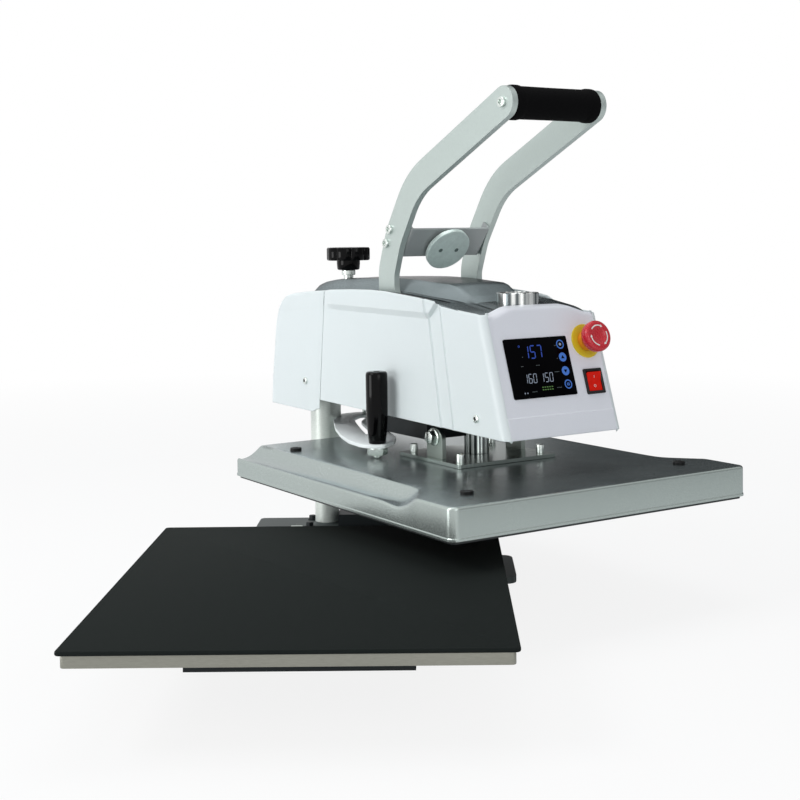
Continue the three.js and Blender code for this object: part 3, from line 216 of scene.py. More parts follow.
def surface(name, colour, roughness, metallic=0.0, grain=1.5, relief=0.02, shade=0.12,
            stretch=(1, 1, 1), spread=0.06, graze_reflection=None, low=0.45, edge=0.5, shine=0.5, **sockets):
    """A finish whose colour, gloss and height vary with a grain of a size in millimetres."""
    finish = bpy.data.materials.new(name)
    finish.use_nodes = True
    tree = finish.node_tree
    shader = tree.nodes["Principled BSDF"]
    shader.inputs["Metallic"].default_value = metallic
    shader.inputs["Specular IOR Level"].default_value = shine
    for key, value in sockets.items():
        shader.inputs[key.replace("_", " ")].default_value = value
    place = add_node(tree, "TexCoord")
    turn = add_node(tree, "Mapping", {"Scale": stretch}, {"Vector": place.outputs["Object"]})
    grains = add_node(tree, "TexNoise", {"Scale": 1 / (grain * MM), "Detail": 3.0, "Roughness": 0.6},
                      {"Vector": turn.outputs[0]})
    clouds = add_node(tree, "TexNoise", {"Scale": 1 / (CLOUD_WIDTH * MM), "Detail": 2.0},
                      {"Vector": place.outputs["Object"]})
    drift = add_node(tree, "Math", {"operation": "MULTIPLY_ADD", 1: CLOUD_SHARE},
                     {0: clouds.outputs["Fac"], 2: grains.outputs["Fac"]})
    tone = add_node(tree, "ValToRGB", None, {"Fac": drift.outputs[0]})
    base = linear(colour)
    ends = tone.color_ramp.elements
    for end, position, share in ((ends[0], DRIFT_LOW, 1 - shade), (ends[1], DRIFT_HIGH, 1 + shade)):
        end.position = position
        end.color = [min(c * share, 1) for c in base[:3]] + [1]
    paint = tone.outputs["Color"]
    # Where a graze colour is given, the colour blends toward it at a grazing view: a painted dark reflection
    # of the room.
    if graze_reflection:
        tilt = add_node(tree, "LayerWeight", {"Blend": 0.5})
        reach = add_node(tree, "MapRange", {"From Min": low, "From Max": GRAZE_FULL},
                         {"Value": tilt.outputs["Facing"]})
        painted_reflection = add_node(tree, "Mix", {"data_type": "RGBA"}, {0: reach.outputs[0], 6: paint})
        painted_reflection.inputs[7].default_value = linear(graze_reflection)
        paint = painted_reflection.outputs[2]
    tree.links.new(paint, shader.inputs["Base Color"])
    gloss = add_node(tree, "MapRange", {"From Min": GLOSS_LOW, "From Max": GLOSS_HIGH,
                                        "To Min": max(roughness - spread, LEAST_ROUGHNESS),
                                        "To Max": roughness + spread}, {"Value": drift.outputs[0]})
    tree.links.new(gloss.outputs[0], shader.inputs["Roughness"])
    soft_edge = add_node(tree, "Bevel", {"samples": 4, "Radius": edge * MM})
    bump = add_node(tree, "Bump", {"Strength": 1.0, "Distance": relief * MM},
                    {"Height": grains.outputs["Fac"], "Normal": soft_edge.outputs[0]})
    tree.links.new(bump.outputs[0], shader.inputs["Normal"])
    return finish


def dress(finish, *nodes):
    """Puts a finish on CAD pieces that keep their own shape."""
    for node in nodes:
        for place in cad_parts[node].material_slots:
            place.material = finish


# Orange peel of about 1.5 mm breaks up the soft shine of the coat.
slate_coat = surface("Slate powder coat on steel", "#4b5251", 0.5, relief=0.03, shine=0.2)
dress(slate_coat, "base_plate")
# Dusty matt rubber, faintly mottled.
foot_rubber = surface("Moulded black rubber", "#1c1d1e", 0.85, grain=2.5, relief=0.05)
dress(foot_rubber, "foot_rear_left", "foot_rear_right", "foot_front_left", "foot_front_right")


# Swing post, brace, thrust collar and washer
# A turned steel post welded to a round flange, bolted down with four hexagon screws. The
# collar and a bronze washer carry the whole head.
# Profiles are lists of radius and height, in millimetres.
POST_PROFILE = [(0, 19), (17.7, 19), (17.7, 266), (16.9, 267), (0, 267)]
FLANGE_TOP = 18.3
FLANGE_PROFILE = [(0, 8.3), (45.4, 8.3), (46, 9), (46, 17.4), (45.2, FLANGE_TOP), (22, FLANGE_TOP),
                  (20.4, 18.8), (18.6, 20.6), (17.6, 22.4), (0, 22.4)]
COLLAR_PROFILE = [(18.1, 92), (29, 92), (30, 93), (30, 109), (29, 110), (18.1, 110), (18.1, 92)]
COLLAR_SCREW = (0, -29.5, 101)
FLANGE_SCREWS = 34
BRACE_TOP = 36.3
BRACE_SCREWS = [(x, y) for x in (62, 90) for y in (18, -18)]


def piece(name, bm, finish, body, slot, place=None, nodes=(), crease=35):
    """Closes a bmesh made in millimetres, sets it in its place and lets it ride on a body."""
    bmesh.ops.remove_doubles(bm, verts=bm.verts, dist=0.002)
    bmesh.ops.recalc_face_normals(bm, faces=bm.faces)
    bmesh.ops.transform(bm, matrix=Matrix.Scale(MM, 4) @ (place or Matrix()), verts=bm.verts)
    mesh = bpy.data.meshes.new(name)
    bm.to_mesh(mesh)
    bm.free()
    mesh.materials.append(finish)
    mesh.polygons.foreach_set("use_smooth", [True] * len(mesh.polygons))
    mesh.set_sharp_from_angle(angle=math.radians(crease))
    thing = bpy.data.objects.new(name, mesh)
    bpy.context.scene.collection.objects.link(thing)
    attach(thing, body)
    if nodes:
        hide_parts(*nodes)
    return thing


def turned(bm, profile, steps=32, place=None):
    """Spins a profile of radius and height round the upright axis into a closed body."""
    old = set(bm.verts)
    line = [bm.verts.new((radius, 0, height)) for radius, height in profile]
    edges = [bm.edges.new(pair) for pair in zip(line, line[1:])]
    bmesh.ops.spin(bm, geom=line + edges, cent=(0, 0, 0), axis=(0, 0, 1), angle=math.tau,
                   steps=steps, use_merge=True)
    fresh = [v for v in bm.verts if v not in old]
    bmesh.ops.transform(bm, matrix=place or Matrix(), verts=fresh)
    bmesh.ops.remove_doubles(bm, verts=fresh, dist=0.001)


def turned_piece(name, profile, steps, *rest, **more):
    """A piece that is one turning."""
    bm = bmesh.new()
    turned(bm, profile, steps)
    piece(name, bm, *rest, **more)


def hexagon_screw(bm, place, across, high, washer=0.0):
    """A hexagon head with a chamfered crown, and its washer."""
    old = set(bm.verts)
    radius = across / math.sqrt(3)
    bmesh.ops.create_cone(bm, cap_ends=True, segments=6, radius1=radius, radius2=radius, depth=high,
                          matrix=moved(0, 0, washer + high / 2))
    crown = [e for e in bm.edges if all(v not in old and v.co.z > washer + high / 2 for v in e.verts)]
    bmesh.ops.bevel(bm, geom=crown, offset=across * 0.06, segments=2, profile=0.5,
                    affect="EDGES", material=-1)
    bmesh.ops.transform(bm, matrix=place, verts=[v for v in bm.verts if v not in old])
    if washer:
        turned(bm, [(0, 0), (across * 0.68, 0), (across * 0.72, washer * 0.3),
                    (across * 0.72, washer * 0.8), (across * 0.68, washer), (0, washer)], 32, place)


def socket_screw(bm, place, radius, high, recess=0.5, dome=0.0):
    """A screw head with a round socket sunk into its crown, which may be domed."""
    turned(bm, [(0, 0), (radius, 0), (radius, high * 0.75), (radius * 0.94, high * 0.95),
                (radius * 0.6, high + dome), (radius * 0.48, high + dome),
                (radius * 0.44, high * (1 - recess)), (0, high * (1 - recess))], 24, place)


# Clear zinc plating on turned steel: bright, with fine rings round the bar.
zinc_plate = surface("Zinc plated turned steel", "#d9e0dc", 0.2, 1.0, grain=0.8, relief=0.006,
                     shade=0.16, stretch=(0.15, 0.15, 1.0), spread=0.09)
# The same plating, lighter and less metallic, so that the post and sleeve read brighter:
# painted light.
post_plate = surface("Zinc plated turned steel, painted lighter", "#e3eae4", 0.34, 0.35, grain=0.8,
                     relief=0.006, shade=0.12, stretch=(0.15, 0.15, 1.0))
# Machined steel, satin, with the cutter's fine lines.
machined_steel = surface("Machined steel", "#aab3ad", 0.34, 1.0, grain=0.7, relief=0.008,
                         shade=0.14, stretch=(1.0, 0.2, 1.0), spread=0.08)
# Sintered bronze is brown-gold and faintly porous.
oiled_bronze = surface("Sintered bronze", "#a8864f", 0.42, 1.0, grain=0.6, relief=0.01)
# Dark satin paint over castings and folded steel.
satin_dark = surface("Dark satin paint", "#23282a", 0.5, grain=1.2, relief=0.03, shade=0.15, shine=0.2)
dress(oiled_bronze, "thrust_washer")
dress(satin_dark, "post_brace")

turned_piece("post_bar", POST_PROFILE, 64, post_plate, "stand", "zinc_steel", nodes=["post"])
turned_piece("post_flange", FLANGE_PROFILE, 64, slate_coat, "stand", "slate_paint")
bm = bmesh.new()
turned(bm, COLLAR_PROFILE, 56)
socket_screw(bm, moved(*COLLAR_SCREW) @ spun(90, "X"), 4, 2.5)
piece("collar_ring", bm, machined_steel, "stand", "bright_steel", nodes=["thrust_collar"])
bm = bmesh.new()
for quarter in range(4):
    corner = math.radians(45 + 90 * quarter)
    spot = (FLANGE_SCREWS * math.cos(corner), FLANGE_SCREWS * math.sin(corner), FLANGE_TOP)
    hexagon_screw(bm, moved(*spot), 10, 5.5, washer=1.2)
piece("post_screws", bm, satin_dark, "stand", "dark_paint")
bm = bmesh.new()
for x, y in BRACE_SCREWS:
    socket_screw(bm, moved(x, y, BRACE_TOP), 6.5, 6)
piece("brace_screws", bm, machined_steel, "stand", "bright_steel")


# Slide rails, runners, carriage and cast cross
# Two drawn steel rails are screwed to the base plate. Nylon runners carry a folded
# carriage plate, and a cast iron cross spreads the load under the lower platen.
CARRIAGE_TOP = 42
CARRIAGE_SCREWS = [(x, y) for x in (-39, 101) for y in (-710, -640, -540, -470, -400)]
# Nylon is dull and slightly waxy.
runner_nylon = surface("Black nylon", "#25282a", 0.5, grain=1.8, relief=0.03)
dress(machined_steel, "slide_rail_left", "slide_rail_right")
dress(runner_nylon, "slide_runner_left", "slide_runner_right")
dress(satin_dark, "carriage_plate", "bed_support")
bm = bmesh.new()
for x, y in CARRIAGE_SCREWS:
    socket_screw(bm, moved(x, y, CARRIAGE_TOP), 6, 5)
piece("carriage_screws", bm, machined_steel, "bed", "bright_steel")


# Lower platen and silicone pad
# A milled aluminium plate with a bare sawn edge. The pad is one 4 mm silicone sponge
# sheet, die cut and bonded on, slightly overhanging the plate all round.
def soften(bm, radius, segments=3, above=30, keep=lambda edge: True):
    """Rounds the edges of a bmesh that turn by more than an angle."""
    edges = [e for e in bm.edges if e.is_manifold and keep(e)
             and e.calc_face_angle() > math.radians(above)]
    bmesh.ops.bevel(bm, geom=edges, offset=radius, segments=segments, profile=0.5,
                    affect="EDGES", material=-1, clamp_overlap=True)


def upright(edge):
    """True for an edge that stands on end."""
    a, b = (v.co for v in edge.verts)
    return abs(a.z - b.z) > 0.9 * (a - b).length


def cuboid(bm, low, high):
    """A block between two corners."""
    sides = [b - a for a, b in zip(low, high)]
    middle = [(a + b) / 2 for a, b in zip(low, high)]
    bmesh.ops.create_cube(bm, size=1, matrix=Matrix.Translation(middle) @ Matrix.Diagonal((*sides, 1)))


# Milled aluminium, dull from handling, with tool lines along its edge.
milled_aluminium = surface("Milled aluminium", "#8f8f86", 0.4, 0.85, grain=1.2, relief=0.02,
                           shade=0.12, stretch=(0.15, 1.0, 1.0))
# Silicone sponge skin: matt charcoal with a fine grain, drawn a little coarser than the
# real one so that it shows.
silicone = surface("Charcoal silicone sponge sheet", "#1f2322", 0.8, grain=2.2, relief=0.08,
                   shade=0.14, shine=0.04)
for name, low, high, corner, edge, finish, slot, node in (
        ("bed_plate", (-168, -843.5, 70), (230, -342.5, 82), 4, (0.6, 2), milled_aluminium,
         "bare_aluminium", "lower_platen"),
        ("silicone_sheet", (-172, -847.5, 82), (234, -338.5, 86), 5, (1.2, 3), silicone,
         "pad_silicone", "silicone_pad")):
    bm = bmesh.new()
    cuboid(bm, low, high)
    soften(bm, corner, 4, keep=upright)
    soften(bm, *edge, above=60)
    piece(name, bm, finish, "bed", slot, nodes=[node])


# Swing sleeve, bushes, frame, swing block and ram guide
# The sleeve is a drawn tube turned smooth where it runs on the post. Bronze bushes line
# it, and the welded frame clamps on it through the swing block.
# The head's own directions are right, back and up. It stands off-centre on the post.
HEAD_TURN, HEAD_OFFSET = 34, 31
HEAD = spun(HEAD_TURN, "Z") @ moved(HEAD_OFFSET, 0, 0)
SLEEVE_PROFILE = [(20.4, 115), (21.6, 114.7), (22.2, 115.4), (22.2, 272.6), (21.5, 273.3), (0, 273.3),
                  (0, 267.4), (20.4, 267.4), (20.4, 115)]
dress(machined_steel, "swing_block", "pressure_nut", "crank_shaft")
dress(oiled_bronze, "sleeve_bush_lower", "sleeve_bush_upper", "ram_guide",
      "shaft_bush_left", "shaft_bush_right")
dress(satin_dark, "head_frame")
turned_piece("sleeve_tube", SLEEVE_PROFILE, 64, post_plate, "head", "bright_steel", nodes=["swing_sleeve"])


# Heat platen: cast cover and coated heating plate
# The cover is an aluminium die casting, shot blasted and lacquered satin grey, scooped
# along both long sides. The heating plate under it is coated against sticking.
PLATEN_MIDDLE = 336
PLATEN_HALF = (217.3, 257.3)
PLATEN_CORNER, LEAST_CORNER = 10, 0.8
PLATEN_TOP, PLATEN_EDGE = 157.5, 3.2
# Height and inset of the skirt's rings, from inside it, round its foot and up outside.
SKIRT = ((138.6, 3.8), (121, 3.8), (121, -0.7), (123.6, -0.7), (124.6, 0))
# The channel starts at a distance from the centreline, ends on a slant before the front,
# falls over a width, and is closed by a low lip outside.
CHANNEL_START, CHANNEL_DEEP, CHANNEL_WIDE = 179, 15.6, 30
CHANNEL_FRONT, CHANNEL_SLANT, CHANNEL_BEND, CHANNEL_SOFT = 525, 1.1, 9, 2
LIP_RISE, LIP_FROM, LIP_TO, LIP_FADE, LIP_END = 2.2, 29, 37, 450, 486
# Insets of the rings across the top, close where the cover curves.
TOP_INSETS = (0, 0.12, 0.45, 1, 1.7, 2.5, 3.3, 4.5, 6.5, 9, 12, 15, 18, 21, 24, 27, 30, 32, 33.6, 35, 36,
              37, 38, 39, 40, 41, 42.5, 44.5, 47, 50)


def loft(bm, rings, closed=True, caps=True):
    """Joins rows of points of equal count with faces, and may close both ends."""
    rows = [[bm.verts.new(point) for point in ring] for ring in rings]
    for low, high in zip(rows, rows[1:]):
        for at in range(len(low) if closed else len(low) - 1):
            after = (at + 1) % len(low)
            bm.faces.new((low[at], low[after], high[after], high[at]))
    if caps:
        bm.faces.new(rows[0])
        bm.faces.new(rows[-1])
    return rows


def ease(low, high, value):
    """Rises smoothly from 0 to 1 between two values."""
    share = min(max((value - low) / (high - low), 0), 1)
    return share * share * (3 - 2 * share)


def rolled(distance, radius):
    """How far a rounded edge has dropped, at a distance inside it."""
    short = max(radius - distance, 0)
    return radius - math.sqrt(max(radius * radius - short * short, 0))


def stations(low, high, step, *spots):
    """Places from low to high at a coarse step, and at a finer one around some spots."""
    count = max(1, round((high - low) / step))
    places = {low + (high - low) * i / count for i in range(count + 1)}
    for centre, reach, fine in spots:
        near = round(reach / fine)
        places |= {centre + fine * i for i in range(-near, near + 1)}
    inside = []
    for place in sorted(p for p in places if low <= p <= high):
        if not inside or place - inside[-1] > 0.12:
            inside.append(place)
    inside[-1] = high
    return inside


def cover_top(u, w):
    """Height of the cover's top: a plateau with a dished channel along each side, closed in front."""
    beside = abs(w) - CHANNEL_START
    before = (CHANNEL_FRONT - u - (PLATEN_HALF[0] - abs(w)) * CHANNEL_SLANT) / math.sqrt(2)
    into = (beside + before - math.hypot(beside - before, CHANNEL_BEND)) / 2
    into = (into + math.hypot(into, CHANNEL_SOFT)) / 2
    share = min(into / CHANNEL_WIDE, 1)
    lip = LIP_RISE * ease(LIP_FROM, LIP_TO, beside) * (1 - ease(LIP_FADE, LIP_END, u))
    return PLATEN_TOP - CHANNEL_DEEP * share * (2 - share) + lip


def cover_ring(inset):
    """The cover's rounded outline at a distance inside its edge, as right and forward."""
    turn = max(PLATEN_CORNER - inset, LEAST_CORNER)
    wide, deep = (half - inset - turn for half in PLATEN_HALF)
    full_wide, full_deep = (half - PLATEN_CORNER for half in PLATEN_HALF)
    sides = [s / full_deep * deep for s in stations(-full_deep, full_deep, 6, (156, 52, 1.6), (-236, 11, 3))]
    ends = [s / full_wide * wide for s in stations(-full_wide, full_wide, 8, (-186, 22, 2.4), (186, 22, 2.4))]
    arc = [(turn * math.cos(a), turn * math.sin(a)) for a in (math.pi / 16 * i for i in range(1, 8))]
    ring = [(wide + turn, s) for s in sides] + [(wide + x, deep + y) for x, y in arc]
    ring += [(s, deep + turn) for s in ends[::-1]] + [(-wide - y, deep + x) for x, y in arc]
    ring += [(-wide - turn, s) for s in sides[::-1]] + [(-wide - x, -deep - y) for x, y in arc]
    ring += [(s, -deep - turn) for s in ends] + [(wide + y, -deep - x) for x, y in arc]
    return [(w, PLATEN_MIDDLE + v) for w, v in ring]


# Satin metallic lacquer; at a grazing view its colour blends toward a darker grey, a painted dark reflection
# of the room.
cast_grey = surface("Satin metallic lacquer on cast aluminium", "#b2bcb8", 0.25, 0.85, grain=0.9,
                    relief=0.005, shade=0.05, spread=0.05, graze_reflection="#8c9698", shine=0.3)
# The coat is near black and has a low sheen.
coated = surface("Dark non-stick coat", "#23282a", 0.4, 0.2, grain=0.8, relief=0.01)
dress(coated, "heating_plate")
bm = bmesh.new()
rows = [[(w, -u, z) for w, u in cover_ring(inset)] for z, inset in SKIRT]
rows += [[(w, -u, cover_top(u, w) - rolled(inset, PLATEN_EDGE)) for w, u in cover_ring(inset)]
         for inset in TOP_INSETS]
loft(bm, rows)
piece("platen_casting", bm, cast_grey, "heat_platen", "satin_casting", HEAD, ["platen_cover"], crease=24)

# Push-in plugs over the cover's four screws, of black nylon with a soft shine.
PLUGS = ((152, 163), (538, 158.5))
PLUG_PROFILE = [(0, 153), (7.6, 153), (7.6, 160.6), (7.0, 161.4), (4.2, 161.8), (3.9, 161.3), (0, 161.3)]
plug_black = surface("Black moulded nylon", "#0b0c0d", 0.42, shade=0.06, shine=0.2)
bm = bmesh.new()
for u, w in PLUGS:
    for side in (-1, 1):
        turned(bm, PLUG_PROFILE, 28, moved(side * w, -u, 0))
piece("cover_plugs", bm, plug_black, "heat_platen", "black_plastic", HEAD)


# Mounting bracket, its bolts and the ram
# A milled steel plate with two ears welded on it, held down by four socket screws. The
# ears take a hexagon screw each, and the plated ram stands between them.
BRACKET = [(-75, 268), (75, 268), (75, 404), (-75, 404)]
BRACKET_LOW, BRACKET_TOP, BRACKET_CORNER = 157.8, 162.5, 3
EAR = [(319, 162.4, 0), (353, 162.4, 0), (353, 199.5), (319, 199.5)]
EAR_IN, EAR_OUT, EAR_CORNER = 59, 65, 15
EAR_SCREW_HEIGHT, EAR_SCREW_TURN = 188, 0.3
BOLTS_REAR, BOLTS_FRONT, BOLTS_OUT, BOLT_SEAT = 284, 388, 62, 162.6


def rounded(points, radius, steps=6, closed=True):
    """An outline whose corners become true arcs; a point may carry its own radius."""
    line = []
    for at, point in enumerate(points):
        here = Vector(point[:2])
        reach = point[2] if len(point) > 2 else radius
        if reach <= 0 or (not closed and at in (0, len(points) - 1)):
            line.append(here)
            continue
        before = (Vector(points[at - 1][:2]) - here).normalized()
        after = (Vector(points[(at + 1) % len(points)][:2]) - here).normalized()
        half = before.angle(after) / 2
        middle = here + (before + after).normalized() * (reach / math.sin(half))
        start = here + before * (reach / math.tan(half)) - middle
        stop = here + after * (reach / math.tan(half)) - middle
        first = math.atan2(start.y, start.x)
        sweep = (math.atan2(stop.y, stop.x) - first + math.pi) % math.tau - math.pi
        angles = [first + sweep * i / steps for i in range(steps + 1)]
        line += [middle + reach * Vector((math.cos(a), math.sin(a))) for a in angles]
    return line


def flat(bm, outline, low, high):
    """A plate lying between two heights, from an outline of right and forward."""
    loft(bm, [[(w, -u, z) for w, u in outline] for z in (low, high)])


def standing(bm, outline, left, right):
    """A slab standing between two places across the head, from an outline of forward and height."""
    loft(bm, [[(w, -u, z) for u, z in outline] for w in (left, right)])


def painted_streaks(name, dark, light, roughness, centre, bands):
    """Polished steel with the room's reflection painted into its colour, as streaks along an upright bar."""
    finish = surface(name, light, roughness, 1.0, grain=0.8, relief=0.004)
    tree = finish.node_tree
    place = add_node(tree, "TexCoord")
    off = add_node(tree, "VectorMath", {"operation": "SUBTRACT", 1: centre}, {0: place.outputs["Object"]})
    split = add_node(tree, "SeparateXYZ", None, {0: off.outputs[0]})
    angle = add_node(tree, "Math", {"operation": "ARCTAN2"}, {0: split.outputs["Y"], 1: split.outputs["X"]})
    turns = add_node(tree, "CombineXYZ", None, {0: angle.outputs[0]})
    noise = add_node(tree, "TexNoise", {"Scale": bands, "Detail": 1.0}, {"Vector": turns.outputs[0]})
    tone = add_node(tree, "ValToRGB", None, {"Fac": noise.outputs["Fac"]})
    for end, position, colour in zip(tone.color_ramp.elements, (0.42, 0.58), (dark, light)):
        end.position = position
        end.color = linear(colour)
    tree.links.new(tone.outputs["Color"], tree.nodes["Principled BSDF"].inputs["Base Color"])
    return finish


# Ground plate: clean and mirror-like along the grinding.
mirror_steel = surface("Ground steel plate", "#a3aca8", 0.24, 1.0, grain=0.7, relief=0.006, shade=0.12,
                       stretch=(1.0, 0.2, 1.0))
bm = bmesh.new()
flat(bm, rounded(BRACKET, BRACKET_CORNER), BRACKET_LOW, BRACKET_TOP)
soften(bm, 0.8, 2, above=50)
piece("mount_plate", bm, mirror_steel, "heat_platen", "bright_steel", HEAD, ["mount_bracket"])
bm = bmesh.new()
for side in (-1, 1):
    standing(bm, rounded(EAR, EAR_CORNER, 8), side * EAR_IN, side * EAR_OUT)
soften(bm, 0.7, 2, above=50)
piece("mount_ears", bm, machined_steel, "heat_platen", "bright_steel", HEAD)
bm = bmesh.new()
for side in (-1, 1):
    out = moved(side * EAR_OUT, -PLATEN_MIDDLE, EAR_SCREW_HEIGHT) @ spun(side * 90, "Y")
    hexagon_screw(bm, out @ Matrix.Rotation(EAR_SCREW_TURN, 4, "Z"), 15, 7.5, washer=2)
piece("ear_screws", bm, zinc_plate, "heat_platen", "zinc_steel", HEAD)
bm = bmesh.new()
nodes = []
for end, u in (("rear", BOLTS_REAR), ("front", BOLTS_FRONT)):
    for name, side in (("left", -1), ("right", 1)):
        socket_screw(bm, moved(side * BOLTS_OUT, -u, BOLT_SEAT), 5, 11, recess=0.45)
        nodes.append("mount_bolt_" + end + "_" + name)
piece("mount_screws", bm, zinc_plate, "heat_platen", "zinc_steel", HEAD, nodes)
# The ram is hard plated and polished. The dark head and bright room are painted into its
# colour as upright streaks of reflection.
ram_place = HEAD @ Vector((0, -PLATEN_MIDDLE, 0)) * MM
ram_plate = painted_streaks("Polished hard chrome", "#2c3133", "#e6ecea", 0.16, ram_place, 3.2)
dress(ram_plate, "ram")


# Head casing: rear cover and side covers
# Three injection moulded ABS covers with a fine semi-gloss texture. Their edges are
# rolled in, a raised band runs along the top, and a ribbon crosses the side covers.
# Heights of the casing are above the pad.
PAD_TOP = 86
WALL = 2.4
HIGH_ROLL, LOW_ROLL = 2.4, 1.2
COVER_RISE, COVER_RUN = 160, 155
# The covers' top edge, as forward and height.
TOP_EDGE = [(-21, 263), (-4, 271.5), (20, 274.4), (35, 276), (60, 278), (103.3, 280.4), (121, 282),
            (180, 284.2), (231, 285), (270, 284), (310, 281), (345, 278.4), (379, 275), (383.5, 270),
            (430, 265), (469, 262)]
# Rear end and length of a side cover's foot and of its top edge.
FOOT_REAR, FOOT_LENGTH = 85.8, 429.2
EDGE_REAR, EDGE_LENGTH = 103.3, 365.7
FOOT_HIGH, FOOT_FALL = 126.9, 7.9
SIDE_OUT = 88.6
# The cover's front corner turns in from the side to the panel.
CORNER_DEEP, CORNER_WIDE = 13, 8.5
CORNER_TURNS = [math.radians(a) for a in (20, 27, 34, 42, 50, 58, 66, 74, 82, 90)]
FRONT_BULGE, HEM_DEEP, HEM_WIDE = 1.8, 1.2, 0.25
# Behind the top sheet's high part the right cover's edge lies level with the left one, and
# in front of it a little lower, under the sheet.
RIGHT_EDGE_DROP = 3.4
# Where the ribbon's rear and front lines cross a height, and how they lean.
RIBBON = ((362.7, 246.8, 0.186), (386.0, 263.2, 0.185))
RIBBON_LIP, RIBBON_DEEP, RIBBON_RUN, RIBBON_BACK, RIDGE = 0.8, 1.6, 25, 0.85, 1.3
BAND_RISE = 5.2


def along(table, value):
    """Reads a value from a table of straight stretches."""
    for (x0, y0), (x1, y1) in zip(table, table[1:]):
        if value <= x1:
            break
    return y0 + (y1 - y0) * (value - x0) / (x1 - x0)


def band_rise(u, z):
    """The raised band under the top edge: a chamfer on its underside and a slanting front end."""
    lip = 262.8 - (u - 135.9) * 0.009
    foot = 255.1 - (u - 115.1) * 0.0093
    up = min(max((z - foot) / (lip - foot), 0), 1)
    front = 359.3 + (z - 251.8) * 1.144
    return BAND_RISE * up * ease(100, 134, u) * (1 - ease(-2, 2, u - front))


def ribbon_rise(u, z):
    """The pressed ribbon: a low lip, a step down behind it that fades, and a ridge in front."""
    rear, front = (u - forward - (high - z) * lean for forward, high, lean in RIBBON)
    rise = RIBBON_LIP * ease(-16, -1, rear) * (1 - ease(-0.9, 0.9, rear))
    rise -= RIBBON_DEEP * ease(-0.9, 0.9, rear) * (1 - RIBBON_BACK * min(max(rear / RIBBON_RUN, 0), 1))
    return rise + RIDGE * (ease(-0.9, 0.3, front) - 1.4 * ease(0.3, 1.5, front))


def mirrored(half):
    """A row of points from the right to the middle, and its reflection on the left."""
    return half + [(-w, y, z) for w, y, z in half[-2::-1]]


def open_up(bm, inside):
    """Takes out the faces whose corners all pass a test of a place."""
    room = [f for f in bm.faces if all(inside(v.co) for v in f.verts)]
    bmesh.ops.delete(bm, geom=room, context="FACES")


def thicken(bm, wall):
    """Gives a sheet its wall."""
    bmesh.ops.recalc_face_normals(bm, faces=bm.faces)
    bmesh.ops.solidify(bm, geom=bm.faces[:], thickness=wall)


# White ABS: even, clean and softly shining.
casing_white = surface("White moulded ABS", "#dfe7e8", 0.34, grain=1.2, relief=0.008, shade=0.025,
                       spread=0.03, edge=0.3)
for side, name in ((-1, "left"), (1, "right")):
    bm = bmesh.new()
    columns = [(x, 0, 0) for x in stations(0, FOOT_LENGTH - CORNER_DEEP, 6, (0, 1.6, 0.4), (311, 22, 0.7),
                                           (30, 16, 2))]
    columns += [(FOOT_LENGTH, turn, 0) for turn in CORNER_TURNS] + [(FOOT_LENGTH, math.pi / 2, 1)]
    rows = []
    for v in stations(0, COVER_RISE, 6, (0, 1.5, 0.4), (160, 3, 0.5), (134.5, 8, 0.75), (149, 9, 1)):
        up = v / COVER_RISE
        row = []
        for x, turn, hem in columns:
            share = x / FOOT_LENGTH
            top_u = EDGE_REAR + EDGE_LENGTH * share
            top_z = along(TOP_EDGE, top_u)
            if side > 0:
                top_z -= RIGHT_EDGE_DROP * ease(366, 380, top_u)
            u = (FOOT_REAR + FOOT_LENGTH * share) * (1 - up) + top_u * up
            z = (FOOT_HIGH - FOOT_FALL * share) * (1 - up) + top_z * up
            out = SIDE_OUT + band_rise(u, z) + ribbon_rise(u, z)
            out -= rolled(min(x, up * COVER_RUN), LOW_ROLL) + rolled((1 - up) * COVER_RUN, HIGH_ROLL)
            u += FRONT_BULGE * ease(395, 429, x)
            if turn:
                u -= CORNER_DEEP * (1 - math.sin(turn)) + HEM_DEEP * hem
                out -= CORNER_WIDE * (1 - math.cos(turn)) + HEM_WIDE * hem
            row.append((side * out, -u, z + PAD_TOP))
        rows.append(row)
    loft(bm, rows, closed=False, caps=False)
    thicken(bm, WALL)
    piece("side_cover_moulding_" + name, bm, casing_white, "head", "casing_white", HEAD,
          ["side_cover_" + name], crease=28)

# The rear cover's back, as a share of its height and a forward place, and the seam in front.
REAR_EDGE = [(0, -61.6), (0.22, -58.4), (0.37, -54.2), (0.51, -50), (0.66, -46.5), (0.77, -42), (0.86, -35),
             (0.93, -24), (0.98, -10), (1, 4)]
SEAM_LOW, SEAM_HIGH = 83.8, 102.9
REAR_OUT, REAR_RUN, REAR_CORNER, SEAM_HEM = 89.6, 140, 7, 0.4
REAR_LOW, REAR_LOW_STEP, REAR_LOW_FALL, REAR_HIGH = 110, 6, 1.5, 272.5
# The back is crowned a little from its corners to its middle.
BACK_CROWN = ((79, 0.2), (70, 0.5), (52.4, 0.8), (40, 1), (3.6, 1.2), (0, 1.2))
